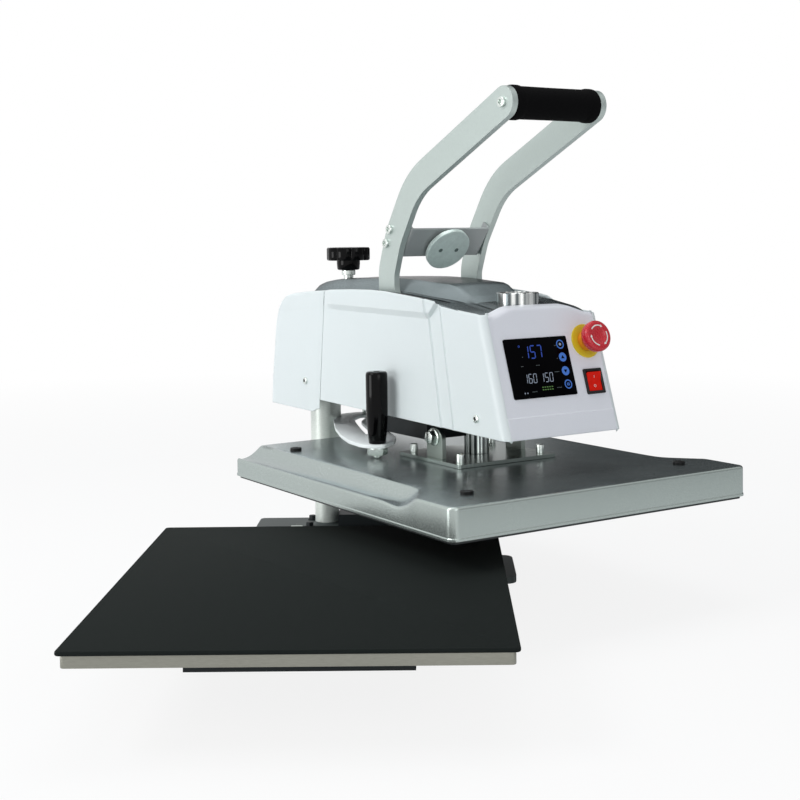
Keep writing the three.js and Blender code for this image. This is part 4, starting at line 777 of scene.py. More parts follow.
# The opening for the mains inlet: across, heights over the floor, and how far back it starts.
INLET_ACROSS, INLET_HEIGHTS, INLET_BEHIND = (3.5, 52.5), (242, 272), 40
bm = bmesh.new()
rows = []
for v in stations(0, COVER_RISE, 5, (0, 1.5, 0.4), (160, 3, 0.5), (140, 22, 3), (45.9, 0, 1), (74.3, 0, 1)):
    up = v / COVER_RISE
    seam = SEAM_LOW * (1 - up) + SEAM_HIGH * up
    tail = along(REAR_EDGE, up)
    half = []
    for share, hem in [(x / 100, 0) for x in stations(0, 100, 4, (0, 6, 0.6))] + [(1, SEAM_HEM)]:
        u = tail + (seam - tail) * share
        high = along(TOP_EDGE, u) if u > 4 else REAR_HIGH
        low = REAR_LOW + REAR_LOW_STEP * ease(0.86, 1, share) - REAR_LOW_FALL * share
        z = low * (1 - up) + high * up
        out = REAR_OUT + 0.5 * ease(-1.5, 1.5, z - 250 - (u + 13.7) * 0.082)
        out -= rolled((1 - share) * REAR_RUN, LOW_ROLL) + rolled((1 - up) * COVER_RUN, HIGH_ROLL)
        out -= rolled(up * COVER_RUN, LOW_ROLL) + rolled(share * REAR_RUN, REAR_CORNER) + hem
        half.append((out, -u, z + PAD_TOP))
    back = [(w, half[0][1] + crown, half[0][2]) for w, crown in BACK_CROWN]
    rows.append(mirrored(half[::-1] + back))
loft(bm, rows, closed=False, caps=False)
open_up(bm, lambda p: INLET_ACROSS[0] < p.x < INLET_ACROSS[1] and p.y > INLET_BEHIND
        and INLET_HEIGHTS[0] < p.z < INLET_HEIGHTS[1])
thicken(bm, WALL)
piece("rear_cover_moulding", bm, casing_white, "head", "casing_white", HEAD, ["rear_cover"], crease=28)


# Top cover
# One sheet of steel, pressed into a raised spine with bevelled sides, slotted for the two
# arms and lacquered metallic grey. Its edges tuck under the white covers.
SHEET = 2
SHEET_TUCK = 3.4
SHEET_FRONT = [(380, 271.6), (430, 264), (460, 262)]
SHEET_SAG = 6
# The spine's rise along the sheet, as forward and height.
SPINE = [(-2, 0), (2, 4), (12, 13), (30, 15.6), (60, 17), (111, 16), (180, 15.2), (256, 15.2), (300, 15.6),
         (340, 16.2), (352, 15), (378, 6), (394, 0)]
SPINE_END = 393
SPINE_TAPER = 6
ARM_SLOT_ACROSS, ARM_SLOT_ALONG = (59.4, 72.6), (210.5, 381.5)
KNOB_FORWARD = 19
SPINDLE_HOLE = 7.6


def round_hole(bm, centre, radius, room):
    """Opens a round hole where a square of faces lies, and draws its border onto a circle."""
    open_up(bm, lambda p: abs(p.x - centre[0]) < room and abs(p.y - centre[1]) < room)
    for vert in bm.verts:
        away = Vector((vert.co.x - centre[0], vert.co.y - centre[1]))
        if vert.is_boundary and away.length < room * 1.5 and away.length > 0:
            vert.co.x, vert.co.y = Vector(centre) + away.normalized() * radius


# The lacquer's colour turns almost black at a grazing view: a painted dark reflection of the room.
top_metal = surface("Grey metallic lacquer on sheet steel", "#8e989a", 0.26, 0.2, grain=0.9, relief=0.006,
                    shade=0.05, low=0.55, graze_reflection="#121618", shine=0.08,
                    Specular_Tint=(0.35, 0.37, 0.38, 1))
bm = bmesh.new()
rows = []
for u in stations(4, 460, 8, (19, 10, 2.5), (211, 1, 1), (381, 1, 1), (340, 12, 3), (378, 18, 3)):
    edge = PAD_TOP + (along(TOP_EDGE, u) - SHEET_TUCK if u < 380 else along(SHEET_FRONT, u))
    rise = along(SPINE, u) if u < SPINE_END else 0
    shift = SPINE_TAPER * ease(330, 378, u)
    sag = SHEET_SAG * ease(425, 460, u)
    half = [(87.2, 0.2 - sag), (84, 0.6 - sag), (72.5, 1.1 - 0.6 * sag), (59.5, 1.3 - 0.2 * sag),
            (57 - shift, 1.3), (55.6 - shift, 1.8 + rise * 0.06), (50 - shift, rise * 0.55 + 1.6),
            (45 - shift, rise * 0.95 + 1), (43 - shift, rise + 1.5), (34, rise + 2.2), (22, rise + 2.8)]
    half += [(w, rise + 3) for w in (10, 7.5, 5, 2.5, 0)]
    rows.append(mirrored([(w, -u, edge + high) for w, high in half]))
loft(bm, rows, closed=False, caps=False)
open_up(bm, lambda p: ARM_SLOT_ACROSS[0] < abs(p.x) < ARM_SLOT_ACROSS[1]
        and ARM_SLOT_ALONG[0] < -p.y < ARM_SLOT_ALONG[1])
round_hole(bm, (0, -KNOB_FORWARD), SPINDLE_HOLE, SPINDLE_HOLE)
thicken(bm, SHEET)
piece("top_sheet", bm, top_metal, "head", "top_sheet", HEAD, ["top_cover"], crease=22)


# Control panel
# A pale ABS moulding with a rolled brow, sunk a little between the side covers, with a
# raised lip along its foot. The cut-outs are for the stop switch and the mains rocker.
# Places on the panel are right and up its slope.
PANEL_FORWARD, PANEL_HIGH, PANEL_SLOPE = 508.08, 229.07, 71.73
PANEL = HEAD @ moved(0, -PANEL_FORWARD, PANEL_HIGH) @ spun(PANEL_SLOPE, "X")
PANEL_HALF, PANEL_FOOT, PANEL_WALL = 81, -25.1, 2.2
PANEL_LIP, PANEL_LIP_TOP, PANEL_LEAN = 0.9, 1.6, 0.04
# The slope is straight up to a height, then runs to a brow that is lower at its corners.
STRAIGHT, BROW, BROW_DROP, BROW_CROWN = 112, 134, 9.5, 1.5
BROW_RADIUS, BROW_TURN, BROW_BACK = 7, 66, 6
STOP_SPOT, ROCKER_SPOT = (59, 86), (59, 36)
STOP_HOLE, STOP_ROOM = 9.6, 9.7
ROCKER_ROOM = (13, 14.5)
# The same moulded ABS as the covers, a shade lighter: painted light on the front-facing panel.
panel_white = surface("Pale grey moulded ABS", "#eceef5", 0.34, grain=1.2, relief=0.008, shade=0.025,
                      edge=0.3)
bm = bmesh.new()
widths = stations(-PANEL_HALF, PANEL_HALF, 6, (-81, 3.6, 0.6), (81, 3.6, 0.6), (-60, 20, 3), (60, 20, 3),
                  (46.4, 0, 1), (71.6, 0, 1), (49.5, 0, 1), (68.5, 0, 1))
heights = stations(PANEL_FOOT, STRAIGHT, 7, (-25.1, 1.5, 0.5), (0, 4, 0.5), (21.9, 0, 1), (50.1, 0, 1),
                   (76.5, 0, 1), (95.5, 0, 1))
# Beyond the straight part, four short steps reach the brow, four go round it, two go back.
heights += [STRAIGHT + i / 4 for i in range(1, 5)] + [STRAIGHT + i for i in range(2, 8)]
rows = []
for y in heights:
    beyond = y - STRAIGHT
    row = []
    for w in widths:
        brow = BROW - BROW_DROP * ease(38, 79, abs(w)) - BROW_CROWN * (w / PANEL_HALF) ** 2
        z = 0.5 - rolled(PANEL_HALF - abs(w), 3) - rolled(y - PANEL_FOOT, 1.2) + PANEL_LEAN * min(y, 0)
        z += PANEL_LIP * ease(PANEL_LIP_TOP, -0.2, y) if y < PANEL_LIP_TOP else 0
        start = brow - BROW_RADIUS + 0.5
        up = y
        if 0 < beyond <= 1:
            up = STRAIGHT + (start - STRAIGHT) * beyond
        elif beyond > 1:
            turn = math.radians(min((beyond - 1) / 4, 1) * BROW_TURN)
            back = max(beyond - 5, 0) * BROW_BACK * (1 - 0.8 * ease(66, 78, abs(w)))
            up = start + BROW_RADIUS * math.sin(turn) + back * math.cos(math.radians(BROW_TURN))
            z -= BROW_RADIUS * (1 - math.cos(turn)) + back * math.sin(math.radians(BROW_TURN))
        row.append((w, up, z))
    rows.append(row)
loft(bm, rows, closed=False, caps=False)
open_up(bm, lambda p: abs(p.x - ROCKER_SPOT[0]) < ROCKER_ROOM[0]
        and abs(p.y - ROCKER_SPOT[1]) < ROCKER_ROOM[1])
round_hole(bm, STOP_SPOT, STOP_HOLE, STOP_ROOM)
thicken(bm, PANEL_WALL)
piece("panel_moulding", bm, panel_white, "head", "panel_white", PANEL, ["control_panel"], crease=28)


# Display, its figures and touch keys
# A touch glass of 94 by 72 mm, black behind. Figures of seven bars and four round keys
# shine through it; each is drawn a few hundredths of a millimetre proud.
GLASS_LOW, GLASS_HIGH, GLASS_CORNER = (-64.5, 22, 0.3), (29.5, 94, 1.9), 2
PROUD, LIGHT = 1.93, 0.05
KEYS_ACROSS, KEYS_UP, KEY_RADIUS = 18.2, (83.9, 68.1, 51.2, 35.0), 5.6
BARS = {"0": "abcdef", "1": "bc", "5": "acdfg", "6": "acdefg", "7": "abc"}
# Text, place, height and width of a figure, step between figures, and width of a bar.
LARGE_FIGURES = ("157", -37, 84.4, 15, 6.2, 9.8, 1.35)
SMALL_FIGURES = (("160", -44.6, 50.5, 10.5, 4.4, 6.9, 0.85), ("150", -20.4, 50.5, 10.5, 4.4, 6.9, 0.85))
FIGURE_LEAN = 0.09
# Where each row of small marks starts, and how many it has.
LEGENDS = ((-42, 71, 1), (-46, 60, 2), (-24, 60, 3), (9, 82.5, 2), (9, 66.5, 1), (1.5, 50.5, 4),
           (0.5, 31.5, 4), (-37, 29, 4))


def shape(bm, outline, thick, low):
    """A thin flat shape on the panel."""
    loft(bm, [[(x, y, z) for x, y in outline] for z in (low, low + thick)])


def mark(bm, x, y, wide, high, thick=LIGHT, low=PROUD):
    """A thin rectangle on the panel, from its lower left corner."""
    shape(bm, [(x, y), (x + wide, y), (x + wide, y + high), (x, y + high)], thick, low)


def arc_band(bm, centre, inner, outer, first, last, low, thick, steps=24, tip=0.0):
    """Part of a ring drawn on the panel, which may end in an arrow head."""
    angles = [first + (last - first) * i / steps for i in range(steps + 1)]
    rings = []
    for a in angles:
        c, s = math.cos(a), math.sin(a)
        rings.append([(centre[0] + r * c, centre[1] + r * s, z)
                      for r, z in ((inner, low), (outer, low), (outer, low + thick), (inner, low + thick))])
    if abs(last - first) > 6.28:
        rows = loft(bm, rings[:-1], caps=False)
        for at in range(4):
            after = (at + 1) % 4
            bm.faces.new((rows[-1][at], rows[-1][after], rows[0][after], rows[0][at]))
    else:
        loft(bm, rings)
    if tip:
        middle = (inner + outer) / 2
        ahead = last + math.copysign(tip / middle, last - first)
        ends = [(inner - tip * 0.3, last), (outer + tip * 0.3, last), (middle, ahead)]
        shape(bm, [(centre[0] + r * math.cos(a), centre[1] + r * math.sin(a)) for r, a in ends], thick, low)


def figures(bm, text, left, top, high, wide, step, bar):
    """Seven-bar figures that lean a little to the right."""
    half = high / 2
    for at, sign in enumerate(text):
        x0 = left + at * step
        spots = {"a": ((0, 0), (wide, 0)), "b": ((wide, 0), (wide, -half)),
                 "c": ((wide, -half), (wide, -high)), "d": ((0, -high), (wide, -high)),
                 "e": ((0, -half), (0, -high)), "f": ((0, 0), (0, -half)), "g": ((0, -half), (wide, -half))}
        for name in BARS[sign]:
            a, b = (Vector(p) for p in spots[name])
            way = (b - a).normalized()
            off = Vector((-way.y, way.x)) * bar / 2
            ends = [a + way * bar * 0.15, a + way * bar * 0.65 + off, b - way * bar * 0.65 + off,
                    b - way * bar * 0.15, b - way * bar * 0.65 - off, a + way * bar * 0.65 - off]
            shape(bm, [(x0 + p.x + p.y * FIGURE_LEAN, top + p.y) for p in ends], LIGHT, PROUD)


def light(name, colour, glow, strength):
    """Light of one colour that shines through the glass."""
    return surface(name, colour, 0.4, grain=30, relief=0, shade=0, Emission_Color=linear(glow),
                   Emission_Strength=strength)


# Glass over black paint: deep black, with only a faint reflection of the room.
glass = surface("Black display glass", "#020204", 0.12, grain=20, relief=0, shade=0, spread=0.02,
                shine=0.03)
# Fibreglass board under green lacquer.
board = surface("Green circuit board", "#1f5a38", 0.5)
dress(board, "controller_board")
bm = bmesh.new()
cuboid(bm, GLASS_LOW, GLASS_HIGH)
soften(bm, GLASS_CORNER, 4, keep=upright)
soften(bm, 0.3, 2, above=50)
piece("display_pane", bm, glass, "head", "display_glass", PANEL, ["display"])
# Lit figures and keys glow softly, enough to read against the black.
lit_blue = light("Blue light through the glass", "#16306e", "#2a50c8", 0.4)
pale_blue = light("Pale blue light through the glass", "#2f5ca8", "#3f74c8", 0.35)
lit_white = light("White light through the glass", "#8d97a6", "#9aa6b8", 0.2)
lit_green = light("Green light through the glass", "#2f4a24", "#4f7a34", 0.5)
# Legends that aren't lit show as grey print.
dim = surface("Dim legend dots on the glass", "#4f5a5c", 0.5, grain=30, relief=0, shade=0)
bm = bmesh.new()
figures(bm, *LARGE_FIGURES)
arc_band(bm, (-43.5, 84.5), 0.7, 1.3, 0, math.tau, PROUD, LIGHT)
piece("figures_large", bm, lit_blue, "head", "display_glass", PANEL)
bm = bmesh.new()
for row in SMALL_FIGURES:
    figures(bm, *row)
arc_band(bm, (KEYS_ACROSS, KEYS_UP[0]), 0.001, 1.7, 0, math.tau, PROUD, 0.08)
for x in (-48.5, -44.7):
    mark(bm, x, 27.5, 1.2, 1.8)
piece("figures_small", bm, lit_white, "head", "display_glass", PANEL)
bm = bmesh.new()
for y, inner in zip(KEYS_UP, (4.2, 0.001, 0.001, 4.2)):
    arc_band(bm, (KEYS_ACROSS, y), inner, KEY_RADIUS, 0, math.tau, PROUD, LIGHT, steps=40)
mark(bm, 16.4, 33.4, 3.6, 3.2)
piece("touch_keys", bm, pale_blue, "head", "display_glass", PANEL)
bm = bmesh.new()
for sign, y in ((1, KEYS_UP[1]), (-1, KEYS_UP[2])):
    shape(bm, [(KEYS_ACROSS - 2.6, y - sign * 1.6), (KEYS_ACROSS + 2.6, y - sign * 1.6),
               (KEYS_ACROSS, y + sign * 2.6)], 0.03, 1.99)
mark(bm, 17.4, 34.3, 1.6, 1.4, 0.03, 1.99)
piece("key_signs", bm, glass, "head", "display_glass", PANEL)
bm = bmesh.new()
for x, y, count in LEGENDS:
    for at in range(count):
        mark(bm, x + at * 1.9, y, 1.3, 0.9, 0.04)
piece("legend_marks", bm, dim, "head", "display_glass", PANEL)
bm = bmesh.new()
for at in range(5):
    for y in (30.2, 33.2):
        mark(bm, -21.5 + at * 3.5, y, 2.2, 1.3, 0.04)
piece("legend_bars", bm, lit_green, "head", "display_glass", PANEL)


# Emergency stop
# A red moulded mushroom with three white arrows printed round its face, on an amber neck,
# over a yellow laminate disc. The neck screws to the switch behind the panel.
DISC_PROFILE = [(9.3, 0.3), (20.6, 0.3), (21, 0.7), (21, 1.5), (20.7, 1.9), (9.3, 1.9), (9.3, 0.3)]
CAP_PROFILE = [(0, -3), (6, -3), (6, 13.55), (13, 13.55), (16, 14), (17.6, 15.6), (18.4, 18), (19, 22),
               (19, 24.4), (18.4, 26.4), (17, 27.6), (15.2, 28), (10.4, 27.9), (9.6, 27.5), (8.6, 26.9),
               (0, 26.6)]
ARROWS_INNER, ARROWS_OUTER, ARROWS_LOW = 11.6, 13.2, 27.93
ARROW_FIRST, ARROW_SWEEP, ARROW_TIP = 20, 72, 3.4
# Laminate is flat and bright, nylon shines softly, and the print is matt.
yellow = surface("Yellow laminate disc", "#e5cf2a", 0.45, shade=0.03, grain=3, relief=0.005)
amber = surface("Amber moulded nylon", "#e8901c", 0.38, shade=0.05, grain=2)
red = surface("Red moulded nylon", "#cb2130", 0.26, shade=0.04, grain=2, relief=0.004)
print_white = surface("White screen print", "#f1eeea", 0.5, shade=0.02, grain=3, relief=0)
dress(amber, "stop_switch")
STOP = PANEL @ moved(*STOP_SPOT, 0)
turned_piece("yellow_disc", DISC_PROFILE, 64, yellow, "head", "disc_yellow", STOP, ["stop_disc"])
turned_piece("stop_cap", CAP_PROFILE, 64, red, "stop_cap", "button_red", STOP, ["stop_button"], crease=40)
bm = bmesh.new()
for third in range(3):
    first = math.radians(ARROW_FIRST + 120 * third)
    last = first - math.radians(ARROW_SWEEP)
    arc_band(bm, (0, 0), ARROWS_INNER, ARROWS_OUTER, first, last, ARROWS_LOW, 0.1, tip=ARROW_TIP)
piece("stop_arrows", bm, print_white, "stop_cap", "button_red", STOP)


# Mains rocker
# A translucent red rocker, lit from behind, in a black bezel that snaps into the panel.
# Inset and height of the bezel's rings, from behind the panel over the rim and back.
BEZEL_RINGS = ((1.7, -14), (1.7, 0.35), (0, 0.35), (0, 2.0), (0.8, 2.8), (2.6, 2.8), (3.4, 2.2), (3.4, -12.3))
BEZEL_HALF = (14, 15.5)
BEZEL_CORNER = 1.4
ROCKER_TILT, MARKS_OUT, MARKS_HIGH = 9, 5.6, 1.95
# Clear red acrylic glows where the lamp behind it shines through.
rocker_red = surface("Translucent red acrylic", "#9c120d", 0.25, shade=0.3, grain=6, relief=0.004,
                     Emission_Color=linear("#d0200f"), Emission_Strength=0.45, shine=0.06)
# Polished nylon is black, with a soft shine along its edges.
black_plastic = surface("Black moulded nylon, polished", "#131415", 0.34, shade=0.05, shine=0.3)
dress(rocker_red, "power_rocker")
dress(black_plastic, "power_inlet")
bm = bmesh.new()
rim_rows = []
for inset, z in BEZEL_RINGS:
    x, y = (half - inset for half in BEZEL_HALF)
    corner = max(BEZEL_CORNER - inset * 0.3, 0.3)
    rim_rows.append([(p.x, p.y, z) for p in rounded([(-x, -y), (x, -y), (x, y), (-x, y)], corner, 4)])
loft(bm, rim_rows)
ROCKER = PANEL @ moved(*ROCKER_SPOT, 0)
piece("bezel_frame", bm, black_plastic, "head", "black_plastic", ROCKER, ["rocker_bezel"])
slopes = [ROCKER @ spun(ROCKER_TILT, "X") @ moved(0, side * MARKS_OUT, MARKS_HIGH)
          @ spun(side * ROCKER_TILT, "X") for side in (-1, 1)]
bm = bmesh.new()
arc_band(bm, (0, 0), 1.2, 1.7, 0, math.tau, 0, 0.1, steps=20)
piece("rocker_mark_off", bm, print_white, "rocker", "rocker_red", slopes[0])
bm = bmesh.new()
mark(bm, -0.3, -1.6, 0.6, 3.2, 0.1, 0)
piece("rocker_mark_on", bm, print_white, "rocker", "rocker_red", slopes[1])


# Electromagnet
# A turned steel pot with its winding potted in resin round the core, ground flat on top.
MAGNET_FORWARD = 425
POT_PROFILE = [(0, 330.2), (26, 330.2), (26, 369.4), (25.2, 370.2), (21.6, 370.2), (21, 369.6), (21, 338.2),
               (11, 338.2), (11, 369.6), (10.4, 370.2), (0, 370.2)]
pot_place = HEAD @ Vector((0, -MAGNET_FORWARD, 0)) * MM
# Freshly turned steel, with the room's reflection painted into its colour as bright upright streaks.
pot_steel = painted_streaks("Turned magnet steel", "#5b6264", "#f2f4f2", 0.2, pot_place, 2.6)
# Resin over copper wire looks dark brown and dull.
copper = surface("Resin potted copper winding", "#3a2c26", 0.5)
dress(copper, "magnet_coil")
turned_piece("magnet_ring", POT_PROFILE, 72, pot_steel, "head", "magnet_steel",
             HEAD @ moved(0, -MAGNET_FORWARD, 0), ["magnet_pot"])


# Pressure knob
# A black phenolic knob with eight lobes, pressed and polished, on a plated collar and
# spindle.
KNOB_RADIUS, LOBES, LOBE_DEEP, LOBE_SHALLOW = 32, 8, 3.4, 1.4
# Inset and height of the knob's rings, from its underside up and over its top.
KNOB_RINGS = ((8, 405), (1.6, 405), (0.5, 405.8), (0, 407.4), (0, 421.4), (0.5, 423), (1.6, 423.9), (4, 424),
              (9, 422.8), (16, 422.4))
HUB_PROFILE = [(0, 391), (14.4, 391), (15.6, 391.6), (16.4, 393), (17, 400), (17, 405.5), (0, 405.5)]
SPINDLE_PROFILE = [(0, 272), (7, 272), (7, 383.6), (9.4, 383.6), (10, 384.2), (10, 390.2), (9.4, 390.9),
                   (0, 390.9)]
# Phenolic polishes to a hard black shine.
phenolic = surface("Polished black phenolic", "#040405", 0.08, grain=2, relief=0.002, spread=0.02,
                   shine=0.12)
bm = bmesh.new()
rows = []
for inset, z in KNOB_RINGS:
    deep = LOBE_DEEP if inset < 4 else LOBE_SHALLOW
    ring = []
    for a in (math.tau * i / 128 for i in range(128)):
        radius = KNOB_RADIUS - inset - deep * (1 - abs(math.cos(LOBES / 2 * a)) ** 0.6)
        ring.append((radius * math.cos(a), radius * math.sin(a), z))
    rows.append(ring)
loft(bm, rows)
turned(bm, HUB_PROFILE, 48)
SPINDLE = HEAD @ moved(0, -KNOB_FORWARD, 0)
piece("knob_head", bm, phenolic, "knob", "knob_black", SPINDLE, ["pressure_knob"], crease=30)
turned_piece("knob_spindle", SPINDLE_PROFILE, 40, zinc_plate, "knob", "bright_steel", SPINDLE)


# Swing handle on its bow-shaped bracket
# A laser-cut steel bracket, powder coated white, with a crescent slot. The handle is a
# black phenolic turning, held by a nut from below.
GRIP_FORWARD, GRIP_LEFT = 271, 109
# Outlines as shares of the way to the handle: forward, right, and each corner's radius.
BOW_SHARES = [(-0.037, 0, 0.02), (0.159, -0.394, 0.3), (0.424, -0.743, 0.3), (0.649, -0.991, 0.3),
              (0.83, -1.147, 0.2), (1.004, -1.202, 0.1), (1.07, -1.01, 0.02), (0.989, -0.743, 0.1),
              (0.875, -0.541, 0.2), (0.554, -0.239, 0.3), (0.295, 0.055, 0.3), (0.074, 0.46, 0.12),
              (-0.044, 0.35, 0.06)]
CRESCENT_SHARES = [(0.06, 0.2, 0.02), (0.17, -0.1, 0.1), (0.34, -0.31, 0.3), (0.57, -0.57, 0.3),
                   (0.75, -0.76, 0.01), (0.74, -0.7, 0.02), (0.55, -0.44, 0.3), (0.3, -0.18, 0.2),
                   (0.12, 0.2, 0.03)]
SPACER_SHARES = ((0.48, -0.27), (0.02, 0.34))
SPACER_PROFILE = [(0, 176.4), (8, 176.4), (8, 212.6), (0, 212.6)]
BOW_LOW, BOW_THICK = 172, 4.5
GRIP_PROFILE = [(0, 160.8), (6, 160.8), (6, 176.8), (10.4, 176.8), (11, 177.4), (12.2, 190), (13.3, 202),
                (13.9, 216), (14, 236), (14, 264.6), (13.4, 267), (12, 268.3), (9.6, 268.8), (4.6, 268.8),
                (4.2, 267.6), (0, 267.6)]
NUT_SEAT = 169.8
NUT_WASHER = [(6.3, NUT_SEAT), (12.4, NUT_SEAT), (12.4, 171.6), (6.3, 171.6), (6.3, NUT_SEAT)]
STUD_PROFILE = [(0, 158.4), (4.6, 158.4), (5.6, 159.6), (5.6, 164), (0, 164)]
# Powder coat over a laser-cut edge: white, smooth and a little soft.
bracket_white = surface("White powder coat", "#f1f6f6", 0.35, shade=0.03)
bm = bmesh.new()
edges = []
for shares in (BOW_SHARES, CRESCENT_SHARES):
    line = rounded([(w * GRIP_LEFT, u * GRIP_FORWARD, r * GRIP_FORWARD) for u, w, r in shares], 0, 8)
    ring = [bm.verts.new((w, -u, BOW_LOW)) for w, u in line]
    edges += [bm.edges.new(pair) for pair in zip(ring, ring[1:] + ring[:1])]
bmesh.ops.bridge_loops(bm, edges=edges)
extruded = bmesh.ops.extrude_face_region(bm, geom=bm.faces[:])["geom"]
top_side = [part for part in extruded if isinstance(part, bmesh.types.BMVert)]
bmesh.ops.translate(bm, vec=(0, 0, BOW_THICK), verts=top_side)
bmesh.ops.recalc_face_normals(bm, faces=bm.faces)
soften(bm, 0.8, 2, above=60)
piece("bow_plate", bm, bracket_white, "head", "bracket_white", HEAD, ["swing_bracket"])
bm = bmesh.new()
for u, w in SPACER_SHARES:
    turned(bm, SPACER_PROFILE, 32, moved(w * GRIP_LEFT, -u * GRIP_FORWARD, 0))
piece("bow_spacers", bm, zinc_plate, "head", "zinc_steel", HEAD)
GRIP = HEAD @ moved(-GRIP_LEFT, -GRIP_FORWARD, 0)
turned_piece("grip_turning", GRIP_PROFILE, 56, phenolic, "head", "knob_black", GRIP, ["swing_grip"],
             crease=40)
bm = bmesh.new()
turned(bm, NUT_WASHER, 40)
hexagon_screw(bm, moved(0, 0, NUT_SEAT) @ spun(180, "X"), 22.5, 8)
turned(bm, STUD_PROFILE, 24)
piece("grip_nut", bm, zinc_plate, "head", "zinc_steel", GRIP, ["swing_nut"])


# Handle arms, their screws and the grip
# Two 8 mm bars cut from plate, tumbled and satin plated. A tube is screwed between their
# round ends and carries a moulded foam rubber grip.
PIVOT, GRIP_END = (300, 245), (492, 593)
# The middle of an arm, as forward, height and bend radius.
CENTRE_LINE = [PIVOT, (236, 367, 45), (236, 394, 45), (253, 438, 110), (298, 505, 110), GRIP_END]
ARM_HALF, ARM_IN, ARM_OUT = 19, 62, 70
CROSS_SCREWS = ((246, 449), (237, 431))
TUBE_PROFILE = [(0, -61), (11, -61), (11, 61), (0, 61)]
# Half of the foam grip, as distance from its middle and radius.
FOAM_HALF = [(61.7, 11.3), (61.7, 17.6), (61.2, 19.4), (59.6, 20.2), (57, 20.45), (51.5, 20.4), (49.6, 20),
             (48.4, 19.4), (46, 19.2), (20, 19.1)]
FOAM_MIDDLE = 19.05


def arm_end(centre, side):
    """The round end of an arm, from one side of it to the other."""
    first = math.atan2(side.y, side.x)
    angles = [first - math.pi * i / 16 for i in range(1, 16)]
    return [centre + ARM_HALF * Vector((math.cos(a), math.sin(a))) for a in angles]


# Satin plating over tumbled bar is pale and brushed along its length.
arm_steel = surface("Satin plated steel bar", "#bcc7c3", 0.36, 0.55, grain=0.8, relief=0.006, shade=0.05,
                    stretch=(1, 0.25, 0.25))
middle_line = rounded(CENTRE_LINE, 0, 10, closed=False)
sides = []
for at in range(len(middle_line)):
    way = (middle_line[min(at + 1, len(middle_line) - 1)] - middle_line[max(at - 1, 0)]).normalized()
    sides.append(Vector((-way.y, way.x)) * ARM_HALF)
arm = [p + side for p, side in zip(middle_line, sides)] + arm_end(middle_line[-1], sides[-1])
arm += [p - side for p, side in zip(middle_line[::-1], sides[::-1])] + arm_end(middle_line[0], -sides[0])
for side, name in ((-1, "left"), (1, "right")):
    bm = bmesh.new()
    standing(bm, arm, side * ARM_IN, side * ARM_OUT)
    soften(bm, 0.8, 2, above=60)
    piece("arm_bar_" + name, bm, arm_steel, "press_handle", "arm_steel", HEAD, ["handle_arm_" + name])
GRIP_AXIS = moved(0, -GRIP_END[0], GRIP_END[1]) @ spun(90, "Y")
bm = bmesh.new()
for side in (-1, 1):
    out = spun(side * 90, "Y")
    for u, z in CROSS_SCREWS:
        socket_screw(bm, moved(side * ARM_OUT, -u, z) @ out, 6.2, 3.4, recess=0.6, dome=0.4)
    socket_screw(bm, moved(side * ARM_OUT, -GRIP_END[0], GRIP_END[1]) @ out, 6.4, 3.8, recess=0.6, dome=0.5)
turned(bm, TUBE_PROFILE, 40, GRIP_AXIS)
piece("arm_screws", bm, zinc_plate, "press_handle", "zinc_steel", HEAD, ["grip_tube"])
# Closed-cell foam rubber: black, matt, with a fine pebbled skin.
foam = surface("Black foam rubber", "#0a0a0b", 0.85, grain=1.4, relief=0.12, shade=0.2, shine=0.06)
foam_profile = [(r, x) for x, r in FOAM_HALF] + [(FOAM_MIDDLE, 0)]
foam_profile += [(r, -x) for x, r in FOAM_HALF[::-1]] + [FOAM_HALF[0][::-1]]
turned_piece("foam_sleeve", foam_profile, 64, foam, "press_handle", "grip_foam", HEAD @ GRIP_AXIS,
             ["foam_grip"], crease=50)


# Cross plate and armature disc
# A bent sheet between the arms, lacquered grey, with a plated steel disc that lands on
# the magnet. Two small screws hold the disc's boss.
# Their places are those of the handle pulled down, which HANDLE_TURN raises.
HANDLE_TURN = -52
RAISED = HEAD @ moved(0, -PIVOT[0], PIVOT[1]) @ spun(HANDLE_TURN, "X")
CROSS_HALF, CROSS_LOW, CROSS_HIGH, CROSS_SHEET = 61.7, 135.7, 150.7, 3
CROSS_FRONT, CROSS_REAR = -152, -108
CROSS_BEND = 4.5
DISC_FORWARD = 125
ARMATURE_PROFILE = [(0, 125.7), (30.2, 125.7), (31, 126.5), (31, 130.9), (30.2, 131.7), (9, 131.7),
                    (9, 135.4), (0, 135.4)]
DIMPLE_PROFILE = [(0, 125.5), (2.9, 125.5), (2.9, 125.9), (0, 125.9)]
DIMPLES_OUT, BOSS_SCREWS_OUT, BOSS_SCREWS_FORWARD = 12.5, 9, 146
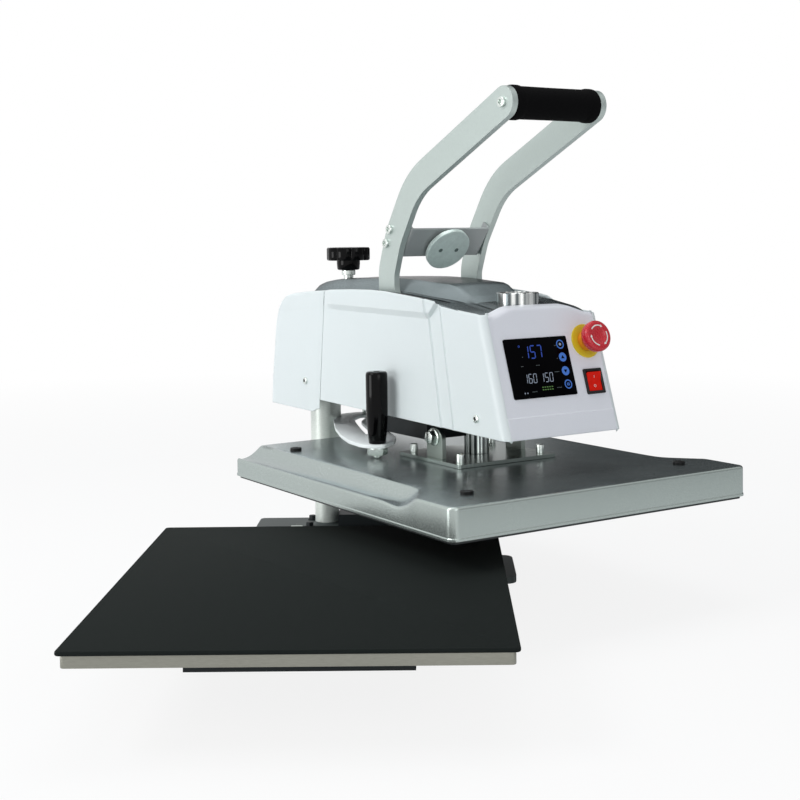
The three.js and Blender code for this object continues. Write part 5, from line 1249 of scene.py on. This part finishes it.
# The same kind of lacquer as the top sheet's, on a plate in the handle's shade.
plate_grey = surface("Grey metallic lacquer, inside the handle", "#a3a8a8", 0.36, 0.2, grain=0.9,
                     relief=0.006, shade=0.06)
bm = bmesh.new()
outer = [(CROSS_HALF, CROSS_HIGH, 0), (CROSS_HALF, CROSS_LOW, CROSS_BEND)]
inner = [(CROSS_HALF - CROSS_SHEET, CROSS_LOW + CROSS_SHEET, CROSS_BEND - CROSS_SHEET),
         (CROSS_HALF - CROSS_SHEET, CROSS_HIGH, 0)]
section = [(-x, z, r) for x, z, r in outer] + outer[::-1] + inner[::-1] + [(-x, z, r) for x, z, r in inner]
section = rounded(section, 0, 6)
loft(bm, [[(x, y, z) for x, z in section] for y in (CROSS_FRONT, CROSS_REAR)])
soften(bm, 0.5, 2, above=70)
piece("cross_sheet", bm, plate_grey, "press_handle", "top_sheet", RAISED, ["cross_plate"])
# Plated disc, slightly clouded from wear. Its two dimples are flat discs a shade darker:
# painted shade in the dimples.
disc_steel = surface("Zinc plated disc", "#dcebe6", 0.3, 0.3, grain=6, relief=0.004, shade=0.1)
dimple_shade = surface("Painted shade in a dimple", "#6f7f7b", 0.4, 0.7)
turned_piece("armature_plate", ARMATURE_PROFILE, 72, disc_steel, "press_handle", "magnet_steel",
             RAISED @ moved(0, -DISC_FORWARD, 0), ["armature_disc"])
bm = bmesh.new()
for side in (-1, 1):
    turned(bm, DIMPLE_PROFILE, 20, moved(side * DIMPLES_OUT, -DISC_FORWARD, 0))
piece("disc_dimples", bm, dimple_shade, "press_handle", "zinc_steel", RAISED)
bm = bmesh.new()
for side in (-1, 1):
    under = moved(side * BOSS_SCREWS_OUT, -BOSS_SCREWS_FORWARD, CROSS_LOW) @ spun(180, "X")
    socket_screw(bm, under, 2.6, 1.8)
piece("cross_screws", bm, zinc_plate, "press_handle", "zinc_steel", RAISED)


# Cover screws
# Plated pan-head screws that hold the covers to the frame; a black disc in each recess is
# painted shade.
COVER_SCREWS = [(side, *spot) for side in (-1, 1) for spot in ((459, 226, 87.3), (48, 237, 89.4))]
# The black disc in each screw's recess, in the black nylon finish: painted shade.
SHADE_DISC_PROFILE = [(0, 1.6), (2.9, 1.6), (2.9, 2.9), (0, 2.9)]
heads, recess_shades = bmesh.new(), bmesh.new()
for side, u, z, out in COVER_SCREWS:
    place = moved(side * out, -u, z) @ spun(side * 90, "Y")
    socket_screw(heads, place, 5, 2.6, recess=0.8, dome=0.6)
    turned(recess_shades, SHADE_DISC_PROFILE, 6, place)
piece("cover_screws", heads, zinc_plate, "head", "zinc_steel", HEAD)
piece("cover_screw_recesses", recess_shades, black_plastic, "head", "zinc_steel", HEAD)
